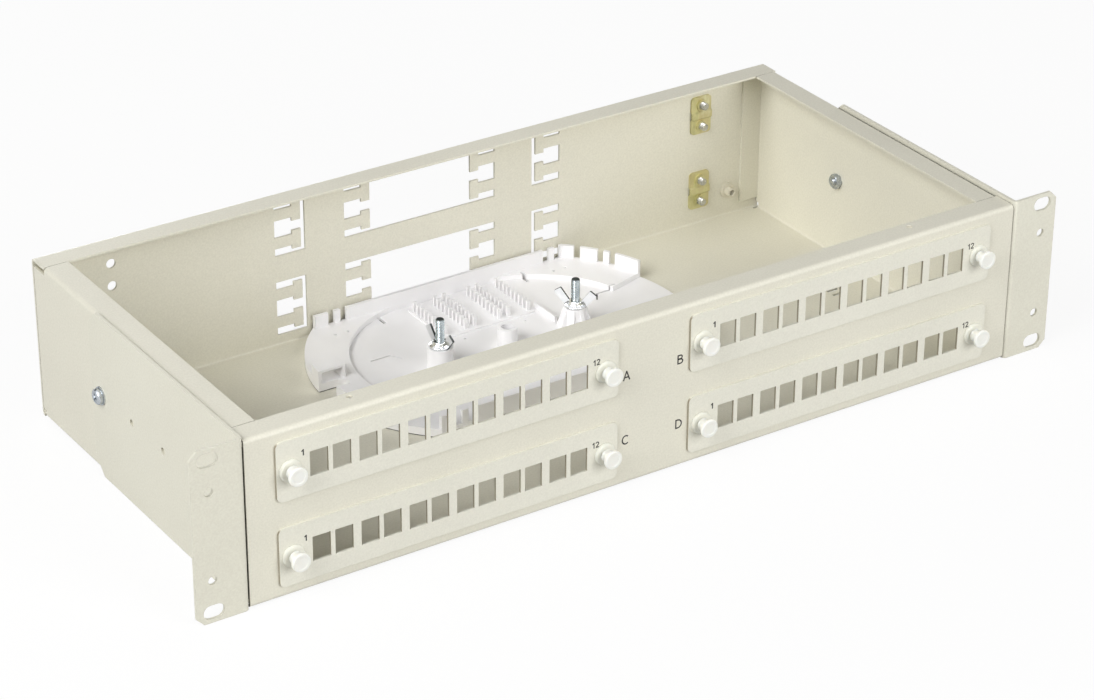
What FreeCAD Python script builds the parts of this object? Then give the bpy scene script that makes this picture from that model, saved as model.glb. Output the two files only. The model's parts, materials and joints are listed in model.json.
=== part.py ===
import FreeCAD, Part
import os
import re
import Sketcher
from FreeCAD import Placement, Rotation, Vector

# Fibre patch panel for two rack units, open at the top.
# +X to the right seen from the front, +Y into the rack, +Z up.
# The origin lies in the rear faces of the rack ears, midway between them and at half their height.

doc = FreeCAD.newDocument("fibre_patch_panel")
sizes = doc.addObject("Spreadsheet::Sheet", "Sizes")

SIZES = {
    # rack brackets, on the hole pattern of a two-unit rack front
    "ear_width": 25.1,
    "slot_inset": 8.75,
    "slot_end": 5.4,
    "hole_rise": 44.45,
    "slot_width": 7.0,
    "slot_length": 10.5,
    "ear_hole": 4.4,
    "ear_chamfer": 3.8,
    "bracket_height": 87.0,
    "bracket_sheet": 1.5,
    "bracket_bend": 1.0,
    "bracket_reach": 145.2,
    "bracket_chamfer": 8.0,
    "bracket_gap": 0.3,
    "bracket_screw_inset": 9.6,
    "bracket_screw_z": 1.0,
    "bracket_hole": 3.5,
    "bracket_hole_pitch": 30.8,
    # folded tray
    "tray_depth": 208.0,
    "tray_height": 85.0,
    "tray_top": 41.8,
    "tray_sheet": 1.2,
    "tray_bend": 1.0,
    "front_recess": 0.65,
    "flange_width": 12.8,
    "fold_leg": 4.0,
    "seam_gap": 0.4,
    "corner_relief": 1.5,
    "tab_width": 13.0,
    "tab_margin": 3.0,
    "lid_hole": 3.0,
    "lid_hole_side": 57.9,
    "lid_hole_inset": 9.0,
    "tie_slot_length": 7.0,
    "tie_slot_width": 2.0,
    "tie_slot_pitch": 5.0,
    "tie_slot_side": 27.4,
    "tie_slot_y": 100.2,
    # cable cut-outs of the rear wall
    "cutout_offset": 0.7,
    "cutout_rise": 44.0,
    "cutout_height": 29.6,
    "centre_cutout_width": 89.3,
    "side_cutout_inner": 67.25,
    "side_cutout_width": 17.25,
    "tongue_pitch": 15.4,
    "stem_length": 9.9,
    "stem_width": 6.0,
    "head_length": 5.0,
    "head_width": 10.2,
    # adapter plates and the wall behind them: window rows, plate ends, gap and margins add up to the width
    "plate_gap": 40.5,
    "plate_margin": 14.65,
    "plate_end": 14.75,
    "plate_rise": 43.4,
    "plate_height": 30.0,
    "plate_sheet": 1.2,
    "plate_corner": 3.0,
    "window_width": 9.25,
    "window_height": 12.5,
    "window_pitch": 11.55,
    "pair_pitch": 25.0,
    "pair_count": 6,
    "opening_margin": 1.0,
    "front_opening_height": 24.0,
    # plate latches
    "latch_inset": 7.05,
    "latch_hole": 6.6,
    "latch_flange": 11.5,
    "latch_flange_thickness": 1.5,
    "latch_edge": 0.4,
    "latch_barrel": 6.3,
    "latch_bore": 4.0,
    "latch_snap": 7.6,
    "latch_snap_start": 0.2,
    "latch_tip": 5.6,
    "latch_leg": 4.6,
    "latch_split": 1.0,
    "plunger_pin": 3.4,
    "plunger_pin_short": 0.4,
    "plunger_neck": 7.8,
    "plunger_neck_length": 1.8,
    "plunger_knob": 10.4,
    "plunger_knob_length": 4.4,
    "plunger_round": 0.6,
    "rest_gap": 0.15,
    # fasteners
    "screw_thread": 4.0,
    "screw_head": 8.0,
    "screw_head_height": 2.6,
    "screw_head_round": 0.7,
    "screw_tail": 1.2,
    "hole_clearance": 0.25,
    "thread_clearance": 0.08,
    "washer_outer": 9.0,
    "washer_thickness": 0.8,
    "nut_across": 7.0,
    "nut_height": 3.2,
    # splice cassette
    "cassette_x": 9.9,
    "cassette_rear_gap": 1.45,
    "cassette_lift": 0.5,
    "cassette_height": 11.2,
    "cassette_floor": 1.5,
    "cassette_wall": 1.8,
    "cassette_half_depth": 62.0,
    "cassette_end_radius": 83.2,
    "cassette_end_centre": 19.6,
    "deck_height": 4.1,
    "guide_rise": 0.8,
    "notch_inset": 14.9,
    "notch_width": 17.4,
    "notch_round": 5.0,
    "bridge_depth": 9.3,
    "bridge_thickness": 1.2,
    "wall_slot_left": 9.8,
    "wall_slot_right": 3.8,
    "wall_slot_pitch": 7.0,
    "wall_slot_width": 3.6,
    "end_slot_one": 6.1,
    "end_slot_two": 15.2,
    "end_slot_three": 20.0,
    "end_slot_sweep": 2.4,
    "end_mouth_sweep": 33.2,
    "deck_pin_x": 65.6,
    "deck_pin_pitch": 7.2,
    "deck_pin_wall_gap": 10.9,
    "floor_pin_spacing": 36.1,
    "floor_pin_gap": 4.6,
    "pin_hole": 1.5,
    "slit_offset": 7.15,
    "slit_far": 73.45,
    "slit_bend": 62.55,
    "slit_tip": 59.15,
    "slit_y": 19.4,
    "slit_drop": 5.2,
    "slit_width": 0.9,
    "comb_offset": 3.9,
    "comb_pad_width": 54.0,
    "comb_pad_depth": 36.0,
    "comb_wall_gap": 4.9,
    "comb_pad_height": 1.0,
    "comb_row_outer": 24.85,
    "comb_row_middle": 12.75,
    "comb_row_inner": 7.35,
    "tooth_length": 2.0,
    "tooth_width": 1.4,
    "tooth_height": 6.5,
    "tooth_pitch": 3.7,
    "tooth_count": 9,
    "fence_x": 34.5,
    "fence_y": 15.2,
    "fence_length": 19.5,
    "fence_thickness": 1.2,
    "fence_height": 3.0,
    "clip_slot_spacing": 86.6,
    "clip_wall_gap": 2.4,
    "clip_slot_length": 7.0,
    "clip_slot_width": 1.8,
    "pivot_boss": 10.3,
    "pivot_boss_bore": 6.3,
    "pivot_boss_depth": 6.0,
    "pivot_boss_height": 11.4,
    "pivot_boss_x": 1.0,
    "pivot_boss_y": -1.5,
    "stud_spacing": 80.4,
    "stud_y": -3.9,
    "stud_boss": 13.0,
    "stud_boss_height": 13.3,
    "rib_boss": 11.6,
    "rib_reach": 9.6,
    "rib_thickness": 1.8,
    "rib_count": 8,
    # studs and wing nuts
    "stud_diameter": 4.0,
    "stud_collar": 7.0,
    "stud_length": 29.0,
    "stud_chamfer": 0.5,
    "stud_clearance": 0.3,
    "nut_clearance": 0.05,
    "nut_seat_gap": 0.1,
    "wing_disc": 12.0,
    "wing_disc_thickness": 1.0,
    "wing_collar_across": 7.4,
    "wing_collar_height": 3.0,
    "wing_start": 4.2,
    "wing_section": 1.3,
    "wing_reach": 5.2,
    "wing_rise": 7.0,
    "wing_width": 6.0,
    "left_nut_turn": -65.0,
    "right_nut_turn": 10.0,
    # cable clamps and the earth point on the rear wall
    "clamp_side": 40.4,
    "clamp_hole": 5.0,
    "clamp_hole_pitch": 12.0,
    "clamp_width": 12.5,
    "clamp_height": 21.4,
    "clamp_sheet": 1.2,
    "clamp_corner": 2.0,
    "clamp_groove": 1.6,
    "clamp_groove_depth": 1.0,
    "clamp_collar": 6.4,
    "clamp_collar_height": 1.2,
    "clamp_screw_tail": 3.0,
    "earth_side": 21.4,
    "earth_rise": 16.2,
    "earth_hole": 6.0,
    "earth_fit": 0.1,
    "earth_bore": 3.3,
    "earth_flange": 9.0,
    "earth_flange_thickness": 0.8,
    "earth_bulge": 8.4,
    "earth_bulge_length": 1.8,
    "earth_tail": 5.0,
    "earth_tail_length": 3.6,
}

for row, (name, value) in enumerate(SIZES.items(), start=1):
    sizes.set(f"A{row}", name)
    sizes.set(f"B{row}", str(value))
    sizes.setAlias(f"B{row}", name)
doc.recompute()

# Places that several pieces share
PLATE_WIDTH = "(pair_count * pair_pitch + 2 * plate_end)"
PLATE_SPACING = f"({PLATE_WIDTH} + plate_gap)"
LATCH_SPACING = f"({PLATE_WIDTH} - 2 * latch_inset)"
OPENING_WIDTH = "(pair_count * pair_pitch + 2 * opening_margin)"
TRAY_SIDE = f"({PLATE_WIDTH} + plate_gap / 2 + plate_margin)"
TRAY_FRONT = "(front_recess - bracket_sheet)"
TRAY_REAR = "(front_recess - bracket_sheet + tray_depth)"
TRAY_BOTTOM = "(tray_top - tray_height)"
TRAY_MIDDLE = "(tray_top - tray_height / 2)"
TRAY_FLOOR = "(tray_top - tray_height + tray_sheet)"
TRAY_BEND_OUTER = "(tray_bend + tray_sheet)"
BRACKET_INNER = f"({TRAY_SIDE} + bracket_gap)"
BRACKET_OUTER = f"({BRACKET_INNER} + bracket_sheet)"
EAR_EDGE = f"({BRACKET_OUTER} + ear_width)"
BRACKET_SCREW_Y = "(bracket_reach - bracket_screw_inset)"
PLATE_FRONT = "(front_recess - bracket_sheet - plate_sheet)"
CUTOUT_MIDDLE = f"({TRAY_MIDDLE} + cutout_offset)"
CASSETTE_BASE = "(tray_top - tray_height + tray_sheet + cassette_lift)"
CASSETTE_Y = f"({TRAY_REAR} - tray_sheet - cassette_rear_gap - cassette_half_depth)"
CLAMP_X = f"({TRAY_SIDE} - clamp_side)"
CLAMP_INNER = "(clamp_sheet + clamp_collar_height)"
EARTH_X = f"({TRAY_SIDE} - earth_side)"
EARTH_Z = f"({TRAY_BOTTOM} + earth_rise)"

PLATES = {"a": ("-", "+"), "b": ("+", "+"), "c": ("-", "-"), "d": ("+", "-")}
SIDES = {"left": "-", "right": "+"}

pieces = []


def bind(expression):
    """Expression of size names as another object of the document reads it."""
    return re.sub(r"[a-z]\w*", lambda word: f"Sizes.{word[0]}" if word[0] in SIZES else word[0], expression)


def number(expression):
    """Value of an expression of size names."""
    return float(sizes.evalExpression(expression))


def new_body(label):
    body = doc.addObject("PartDesign::Body", label)
    body.Label = label
    pieces.append(body)
    return body


def place(body, x="0", y="0", z="0", axis=Vector(0, 0, 1), angle="0"):
    """Put a finished body in the panel; the angle turns it about the axis first."""
    body.Placement = Placement(Vector(), Rotation(axis, number(angle)))
    for name, expression in (("x", x), ("y", y), ("z", z)):
        body.setExpression(f"Placement.Base.{name}", bind(expression))
    doc.recompute()


def sketch_on(body, role, name, offset="0", right="0", up="0"):
    """Sketch parallel to an origin plane of its body, moved along the plane's normal and in the plane."""
    sketch = body.newObject("Sketcher::SketchObject", name)
    plane = next(feature for feature in body.Origin.OriginFeatures if feature.Role == role)
    sketch.AttachmentSupport = [(plane, "")]
    sketch.MapMode = "FlatFace"
    for key, expression in (("x", right), ("y", up), ("z", offset)):
        sketch.setExpression(f"AttachmentOffset.Base.{key}", bind(expression))
    return sketch


def hold(element, point, x, y):
    """Constraints that keep one point of a sketch element at a place given by the sheet."""
    return [(Sketcher.Constraint(kind, -1, 1, element, point, number(expression)), expression)
            for kind, expression in (("DistanceX", x), ("DistanceY", y))]


def constrain(sketch, free, bound):
    """Add plain constraints, then those whose values follow the sheet."""
    count = sketch.ConstraintCount + len(free)
    sketch.addConstraint(free + [constraint for constraint, expression in bound])
    for index, (constraint, expression) in enumerate(bound, start=count):
        sketch.setExpression(f"Constraints[{index}]", bind(expression))


def polygon(sketch, points):
    """Closed outline of straight lines."""
    corners = [Vector(number(x), number(y), 0) for x, y in points]
    first = sketch.GeometryCount
    count = len(points)
    lines = [Part.LineSegment(corners[index], corners[(index + 1) % count]) for index in range(count)]
    sketch.addGeometry(lines, False)
    joined = [Sketcher.Constraint("Coincident", first + index, 2, first + (index + 1) % count, 1)
              for index in range(count)]
    held = []
    for index, (x, y) in enumerate(points):
        held += hold(first + index, 1, x, y)
    constrain(sketch, joined, held)


def rectangle(sketch, x, y, width, height):
    """Rectangle about its middle."""
    left, right = f"{x} - ({width}) / 2", f"{x} + ({width}) / 2"
    low, high = f"{y} - ({height}) / 2", f"{y} + ({height}) / 2"
    polygon(sketch, [(left, low), (right, low), (right, high), (left, high)])


def hexagon(sketch, across):
    """Hexagon about the origin, flats up and down."""
    corner = f"{across} / sqrt(3)"
    flat = f"{across} / 2"
    half = f"{across} / sqrt(12)"
    polygon(sketch, [
        (f"-({corner})", "0"), (f"-({half})", f"-({flat})"), (half, f"-({flat})"),
        (corner, "0"), (half, flat), (f"-({half})", flat),
    ])


def circle(sketch, x, y, diameter):
    middle = Vector(number(x), number(y), 0)
    element = sketch.addGeometry(Part.Circle(middle, Vector(0, 0, 1), number(diameter) / 2), False)
    width = (Sketcher.Constraint("Diameter", element, number(diameter)), diameter)
    constrain(sketch, [], hold(element, 3, x, y) + [width])


def slot(sketch, x, y, length, width):
    """Round-ended slot along the sketch's first axis."""
    reach = f"(({length}) - ({width})) / 2"
    radius = f"({width}) / 2"
    left, right = f"{x} - {reach}", f"{x} + {reach}"
    start, end = Vector(number(left), number(y), 0), Vector(number(right), number(y), 0)
    rise = Vector(0, number(radius), 0)
    outward = Vector(number(radius), 0, 0)
    first = sketch.GeometryCount
    sketch.addGeometry([
        Part.LineSegment(start - rise, end - rise),
        Part.Arc(end - rise, end + outward, end + rise),
        Part.LineSegment(end + rise, start + rise),
        Part.Arc(start + rise, start - outward, start - rise),
    ], False)
    joined = [Sketcher.Constraint("Tangent", first + index, 2, first + (index + 1) % 4, 1)
              for index in range(4)]
    held = hold(first + 1, 3, right, y) + hold(first + 3, 3, left, y)
    held += [(Sketcher.Constraint("Radius", first + arc, number(radius)), radius) for arc in (1, 3)]
    constrain(sketch, joined, held)


def lens(sketch, half_depth, radius, centre):
    """Outline with straight long sides and round ends."""
    reach = f"{centre} + sqrt(({radius}) ^ 2 - ({half_depth}) ^ 2)"
    x, y, tip = number(reach), number(half_depth), number(f"{centre} + {radius}")
    sketch.addGeometry([
        Part.LineSegment(Vector(-x, -y, 0), Vector(x, -y, 0)),
        Part.Arc(Vector(x, -y, 0), Vector(tip, 0, 0), Vector(x, y, 0)),
        Part.LineSegment(Vector(x, y, 0), Vector(-x, y, 0)),
        Part.Arc(Vector(-x, y, 0), Vector(-tip, 0, 0), Vector(-x, -y, 0)),
    ], False)
    joined = [Sketcher.Constraint("Coincident", index, 2, (index + 1) % 4, 1) for index in range(4)]
    held = hold(0, 1, f"-({reach})", f"-({half_depth})") + hold(0, 2, reach, f"-({half_depth})")
    held += hold(2, 1, reach, half_depth) + hold(2, 2, f"-({reach})", half_depth)
    held += [(Sketcher.Constraint("Radius", arc, number(radius)), radius) for arc in (1, 3)]
    constrain(sketch, joined, held)


def grow(body, kind, sketch, before):
    """Recompute after a new feature and compare the volume with what the feature should do."""
    body.Tip = body.Group[-1]
    doc.recompute()
    after = body.Shape.Volume
    if kind == "cut" and after > before - 0.01 or kind == "add" and after < before + 0.01:
        raise RuntimeError(f"{sketch.Label} changes nothing on {body.Label}")


def pad(body, sketch, length, flipped=False, symmetric=False):
    before = body.Shape.Volume if body.Tip else 0.0
    feature = body.newObject("PartDesign::Pad", f"{sketch.Name}_pad")
    feature.Profile = sketch
    feature.setExpression("Length", bind(length))
    feature.SideType = "Symmetric" if symmetric else "One side"
    feature.Reversed = flipped
    grow(body, "add", sketch, before)
    return feature


def pocket(body, sketch, length=None, flipped=False):
    """Cut to a depth, or through everything on both sides of the sketch."""
    before = body.Shape.Volume
    feature = body.newObject("PartDesign::Pocket", f"{sketch.Name}_cut")
    feature.Profile = sketch
    if length is None:
        feature.SideType = "Symmetric"
        feature.Type = "ThroughAll"
    else:
        feature.setExpression("Length", bind(length))
    feature.Reversed = flipped
    grow(body, "cut", sketch, before)
    return feature


def straight_edges(body, along, *places):
    """Names of the straight edges along an axis through the given places."""
    found = []
    for index, edge in enumerate(body.Tip.Shape.Edges, start=1):
        if edge.Curve.TypeId != "Part::GeomLine":
            continue
        if abs(getattr(edge.tangentAt(edge.FirstParameter), along)) < 0.999:
            continue
        middle = edge.CenterOfMass
        for spot in places:
            if all(abs(getattr(middle, key) - number(value)) < 0.0001 for key, value in spot.items()):
                found.append(f"Edge{index}")
                break
    if len(found) < len(places):
        raise RuntimeError(f"edges are missing on {body.Label}")
    return found


def round_edges(body, edges, radius):
    base = body.Tip
    feature = body.newObject("PartDesign::Fillet", f"{body.Name}_bend")
    feature.Base = (base, edges)
    feature.setExpression("Radius", bind(radius))
    body.Tip = feature
    doc.recompute()


def bevel_edges(body, edges, size):
    base = body.Tip
    feature = body.newObject("PartDesign::Chamfer", f"{body.Name}_bevel")
    feature.Base = (base, edges)
    feature.setExpression("Size", bind(size))
    body.Tip = feature
    doc.recompute()


def revolved(label, points):
    """Body turned about its own Y axis from a half profile of radius and height."""
    body = new_body(label)
    sketch = sketch_on(body, "XY_Plane", f"{label}_profile")
    polygon(sketch, points)
    feature = body.newObject("PartDesign::Revolution", f"{label}_turned")
    feature.Profile = sketch
    feature.ReferenceAxis = (sketch, ["V_Axis"])
    feature.Angle = 360
    body.Tip = feature
    doc.recompute()
    return body


def plate_middle(letter):
    """Centre of an adapter plate in X and Z."""
    across, above = PLATES[letter]
    return f"(0 {across} {PLATE_SPACING} / 2)", f"({TRAY_MIDDLE} {above} plate_rise / 2)"


def latch_middles(letter):
    """Centres of the two latches of an adapter plate in X and Z."""
    x, z = plate_middle(letter)
    return [(f"({x} - {LATCH_SPACING} / 2)", z), (f"({x} + {LATCH_SPACING} / 2)", z)]


def tongue(x, z, outward):
    """T-shaped tie tongue that starts at a cut-out's edge; corners from below to above."""
    inward = "-" if outward == "+" else "+"
    neck = f"{x} {inward} stem_length"
    tip = f"{x} {inward} stem_length {inward} head_length"
    return [
        (x, f"{z} - stem_width / 2"), (neck, f"{z} - stem_width / 2"), (neck, f"{z} - head_width / 2"),
        (tip, f"{z} - head_width / 2"), (tip, f"{z} + head_width / 2"), (neck, f"{z} + head_width / 2"),
        (neck, f"{z} + stem_width / 2"), (x, f"{z} + stem_width / 2"),
    ]


def build_tray():
    """Base, walls and top flanges of one sheet."""
    body = new_body("tray")
    fold = sketch_on(body, "YZ_Plane", "tray_front_and_rear")
    front_lip, rear_lip = f"{TRAY_FRONT} + flange_width", f"{TRAY_REAR} - flange_width"
    front_inside, rear_inside = f"{TRAY_FRONT} + tray_sheet", f"{TRAY_REAR} - tray_sheet"
    under_flange = "tray_top - tray_sheet"
    polygon(fold, [
        (front_lip, "tray_top"), (TRAY_FRONT, "tray_top"), (TRAY_FRONT, TRAY_BOTTOM),
        (TRAY_REAR, TRAY_BOTTOM), (TRAY_REAR, "tray_top"), (rear_lip, "tray_top"),
        (rear_lip, under_flange), (rear_inside, under_flange), (rear_inside, TRAY_FLOOR),
        (front_inside, TRAY_FLOOR), (front_inside, under_flange), (front_lip, under_flange),
    ])
    pad(body, fold, f"2 * {TRAY_SIDE}", symmetric=True)
    outer = [dict(y=y, z=z) for y in (TRAY_FRONT, TRAY_REAR) for z in (TRAY_BOTTOM, "tray_top")]
    inner = [dict(y=y, z=z) for y in (front_inside, rear_inside) for z in (TRAY_FLOOR, under_flange)]
    round_edges(body, straight_edges(body, "x", *outer), TRAY_BEND_OUTER)
    round_edges(body, straight_edges(body, "x", *inner), "tray_bend")

    # relief notches where the four bends of the base would meet
    relief = sketch_on(body, "XY_Plane", "tray_corner_relief", f"{TRAY_FLOOR} + tray_sheet")
    for side in ("-", "+"):
        for y in (f"{TRAY_FRONT} + {TRAY_BEND_OUTER} + corner_relief / 2",
                  f"{TRAY_REAR} - {TRAY_BEND_OUTER} - corner_relief / 2"):
            rectangle(relief, f"0 {side} ({TRAY_SIDE} - fold_leg / 2)", y, "fold_leg", "corner_relief")
    pocket(body, relief, "3 * tray_sheet")

    # side walls: fold at the base, plain wall, fold at the top with the side flange between the others
    base_start = f"{TRAY_FRONT} + {TRAY_BEND_OUTER} + corner_relief"
    base_fold = sketch_on(body, "XZ_Plane", "tray_side_base", f"-({base_start})")
    wall_start = f"{TRAY_FRONT} + tray_sheet + seam_gap"
    wall = sketch_on(body, "XZ_Plane", "tray_side_wall", f"-({wall_start})")
    lip_start = f"{TRAY_FRONT} + flange_width + seam_gap"
    lip = sketch_on(body, "XZ_Plane", "tray_side_flange", f"-({lip_start})")
    for side in ("-", "+"):
        out, inside = f"0 {side} {TRAY_SIDE}", f"0 {side} ({TRAY_SIDE} - tray_sheet)"
        leg = f"0 {side} ({TRAY_SIDE} - fold_leg)"
        low, high = f"{TRAY_BOTTOM} + fold_leg", "tray_top - fold_leg"
        polygon(base_fold, [(leg, TRAY_BOTTOM), (out, TRAY_BOTTOM), (out, low), (inside, low),
                            (inside, TRAY_FLOOR), (leg, TRAY_FLOOR)])
        polygon(wall, [(inside, low), (out, low), (out, high), (inside, high)])
        edge = f"0 {side} ({TRAY_SIDE} - flange_width)"
        polygon(lip, [(edge, "tray_top"), (out, "tray_top"), (out, high), (inside, high),
                      (inside, under_flange), (edge, under_flange)])
    pad(body, base_fold, f"tray_depth - 2 * ({TRAY_BEND_OUTER} + corner_relief)", flipped=True)
    corners = [dict(x=f"0 {side} {TRAY_SIDE}", z=TRAY_BOTTOM, y=f"{TRAY_FRONT} + tray_depth / 2")
               for side in ("-", "+")]
    round_edges(body, straight_edges(body, "y", *corners), TRAY_BEND_OUTER)
    corners = [dict(x=f"0 {side} ({TRAY_SIDE} - tray_sheet)", z=TRAY_FLOOR) for side in ("-", "+")]
    round_edges(body, straight_edges(body, "y", *corners), "tray_bend")
    pad(body, wall, "tray_depth - 2 * (tray_sheet + seam_gap)", flipped=True)
    pad(body, lip, "tray_depth - 2 * (flange_width + seam_gap)", flipped=True)
    corners = [dict(x=f"0 {side} {TRAY_SIDE}", z="tray_top", y=f"{TRAY_FRONT} + tray_depth / 2")
               for side in ("-", "+")]
    round_edges(body, straight_edges(body, "y", *corners), TRAY_BEND_OUTER)
    corners = [dict(x=f"0 {side} ({TRAY_SIDE} - tray_sheet)", z=under_flange) for side in ("-", "+")]
    round_edges(body, straight_edges(body, "y", *corners), "tray_bend")

    # tabs of the side walls, spot welded behind the front and rear walls
    front_tab = sketch_on(body, "XZ_Plane", "tray_front_tab", f"-({front_inside})")
    rear_tab = sketch_on(body, "XZ_Plane", "tray_rear_tab", f"-({rear_inside})")
    low, high = f"{TRAY_BOTTOM} + fold_leg + tab_margin", "tray_top - fold_leg - tab_margin"
    for sketch in (front_tab, rear_tab):
        for side in ("-", "+"):
            edge = f"0 {side} ({TRAY_SIDE} - tab_width)"
            inside = f"0 {side} ({TRAY_SIDE} - tray_sheet / 2)"
            polygon(sketch, [(edge, low), (inside, low), (inside, high), (edge, high)])
    pad(body, front_tab, "tray_sheet", flipped=True)
    pad(body, rear_tab, "tray_sheet")

    # openings behind the adapter plates and holes for their latches
    front = sketch_on(body, "XZ_Plane", "tray_front_openings", f"-({TRAY_FRONT} - tray_sheet)")
    for letter in PLATES:
        x, z = plate_middle(letter)
        rectangle(front, x, z, OPENING_WIDTH, "front_opening_height")
        for latch_x, latch_z in latch_middles(letter):
            circle(front, latch_x, latch_z, "latch_hole")
    pocket(body, front, "3 * tray_sheet")

    # cable cut-outs with tie tongues and the holes of the cable clamps, in two rows
    behind = f"-({TRAY_REAR} - 2 * tray_sheet)"
    middle = "cutout_rise / 2"
    low, high = f"{middle} - cutout_height / 2", f"{middle} + cutout_height / 2"
    spots = [f"{middle} - tongue_pitch / 2", f"{middle} + tongue_pitch / 2"]
    half = "centre_cutout_width / 2"
    outline = [(f"-({half})", low), (half, low)]
    for spot in spots:
        outline += tongue(half, spot, "+")
    outline += [(half, high), (f"-({half})", high)]
    for spot in reversed(spots):
        outline += reversed(tongue(f"-({half})", spot, "-"))
    centre = sketch_on(body, "XZ_Plane", "tray_centre_cutout", behind, up=CUTOUT_MIDDLE)
    polygon(centre, outline)
    ends = sketch_on(body, "XZ_Plane", "tray_side_cutouts", behind, up=CUTOUT_MIDDLE)
    for side in ("-", "+"):
        inside = f"0 {side} side_cutout_inner"
        outside = f"0 {side} (side_cutout_inner + side_cutout_width)"
        outline = [(inside, low), (outside, low)]
        for spot in spots:
            outline += tongue(outside, spot, side)
        outline += [(outside, high), (inside, high)]
        polygon(ends, outline)
    holes = sketch_on(body, "XZ_Plane", "tray_clamp_holes", behind, up=CUTOUT_MIDDLE)
    for side in ("-", "+"):
        for hole in ("-", "+"):
            circle(holes, f"0 {side} {CLAMP_X}", f"{middle} {hole} clamp_hole_pitch / 2", "clamp_hole")
    row = [pocket(body, sketch, "3 * tray_sheet") for sketch in (centre, ends, holes)]
    lower = body.newObject("PartDesign::Mirrored", "tray_lower_row")
    lower.Originals = row
    lower.MirrorPlane = (centre, ["H_Axis"])
    body.Tip = lower
    doc.recompute()
    earth = sketch_on(body, "XZ_Plane", "tray_earth_hole", behind)
    circle(earth, EARTH_X, EARTH_Z, "earth_hole")
    pocket(body, earth, "3 * tray_sheet")

    # screw holes of the brackets, lid screw holes and tie bridges
    sides = sketch_on(body, "YZ_Plane", "tray_bracket_holes")
    circle(sides, BRACKET_SCREW_Y, "bracket_screw_z", "screw_thread + 2 * hole_clearance")
    pocket(body, sides)
    lid = sketch_on(body, "XY_Plane", "tray_lid_holes", "tray_top + tray_sheet")
    ties = sketch_on(body, "XY_Plane", "tray_tie_slots", f"{TRAY_FLOOR} + tray_sheet")
    for side in ("-", "+"):
        circle(lid, f"0 {side} ({TRAY_SIDE} - lid_hole_side)", f"{TRAY_FRONT} + lid_hole_inset", "lid_hole")
        for row in ("-", "+"):
            rectangle(ties, f"(0 {side} ({TRAY_SIDE} - tie_slot_side))",
                      f"(tie_slot_y {row} tie_slot_pitch / 2)", "tie_slot_length", "tie_slot_width")
    pocket(body, lid, "3 * tray_sheet")
    pocket(body, ties, "3 * tray_sheet")


def build_bracket(name):
    """Rack ear and side plate of one folded sheet."""
    side = SIDES[name]
    body = new_body(f"{name}_rack_bracket")
    ear, inner, outer = f"0 {side} {EAR_EDGE}", f"0 {side} {BRACKET_INNER}", f"0 {side} {BRACKET_OUTER}"
    plan = sketch_on(body, "XY_Plane", f"{name}_bracket_fold", "-bracket_height / 2")
    polygon(plan, [(ear, "-bracket_sheet"), (inner, "-bracket_sheet"), (inner, "bracket_reach"),
                   (outer, "bracket_reach"), (outer, "0"), (ear, "0")])
    pad(body, plan, "bracket_height")
    round_edges(body, straight_edges(body, "z", dict(x=inner, y="-bracket_sheet")),
                "bracket_bend + bracket_sheet")
    round_edges(body, straight_edges(body, "z", dict(x=outer, y="0")), "bracket_bend")
    ends = ("-bracket_height / 2", "bracket_height / 2")
    bevel_edges(body, straight_edges(body, "y", *[dict(x=ear, z=z) for z in ends]), "ear_chamfer")
    bevel_edges(body, straight_edges(body, "x", *[dict(y="bracket_reach", z=z) for z in ends]),
                "bracket_chamfer")
    ear_holes = sketch_on(body, "XZ_Plane", f"{name}_ear_holes", "2 * bracket_sheet")
    for above in ("-", "+"):
        x = f"0 {side} ({EAR_EDGE} - slot_inset)"
        slot(ear_holes, x, f"0 {above} (bracket_height / 2 - slot_end)", "slot_length", "slot_width")
        circle(ear_holes, x, f"0 {above} hole_rise / 2", "ear_hole")
    pocket(body, ear_holes, "3 * bracket_sheet")
    side_holes = sketch_on(body, "YZ_Plane", f"{name}_side_holes")
    circle(side_holes, BRACKET_SCREW_Y, "bracket_screw_z", "screw_thread + 2 * hole_clearance")
    for count in (1, 2):
        y = f"{BRACKET_SCREW_Y} - {count} * bracket_hole_pitch"
        circle(side_holes, y, "bracket_screw_z", "bracket_hole")
    pocket(body, side_holes)


def build_bracket_fixing(name):
    """Screw, washer and nut that hold a bracket to the tray's side wall."""
    side = SIDES[name]
    turn = "-90" if side == "+" else "90"
    stack = "washer_thickness + bracket_sheet + bracket_gap + tray_sheet"
    screw = revolved(f"{name}_bracket_screw", [
        ("0", f"-({stack}) - nut_height - screw_tail"),
        ("screw_thread / 2", f"-({stack}) - nut_height - screw_tail"),
        ("screw_thread / 2", "0"),
        ("screw_head / 2", "0"),
        ("screw_head / 2", "screw_head_height - screw_head_round"),
        ("screw_head / 2 - screw_head_round", "screw_head_height"),
        ("0", "screw_head_height"),
    ])
    place(screw, f"0 {side} ({BRACKET_OUTER} + washer_thickness)", BRACKET_SCREW_Y, "bracket_screw_z",
          angle=turn)
    washer = revolved(f"{name}_bracket_washer", [
        ("screw_thread / 2 + hole_clearance", "0"), ("washer_outer / 2", "0"),
        ("washer_outer / 2", "washer_thickness"), ("screw_thread / 2 + hole_clearance", "washer_thickness"),
    ])
    place(washer, f"0 {side} {BRACKET_OUTER}", BRACKET_SCREW_Y, "bracket_screw_z", angle=turn)
    nut = new_body(f"{name}_bracket_nut")
    outline = sketch_on(nut, "XZ_Plane", f"{name}_nut_outline")
    hexagon(outline, "nut_across")
    circle(outline, "0", "0", "screw_thread + 2 * thread_clearance")
    pad(nut, outline, "nut_height")
    place(nut, f"0 {side} ({TRAY_SIDE} - tray_sheet)", BRACKET_SCREW_Y, "bracket_screw_z", angle=turn)


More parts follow.
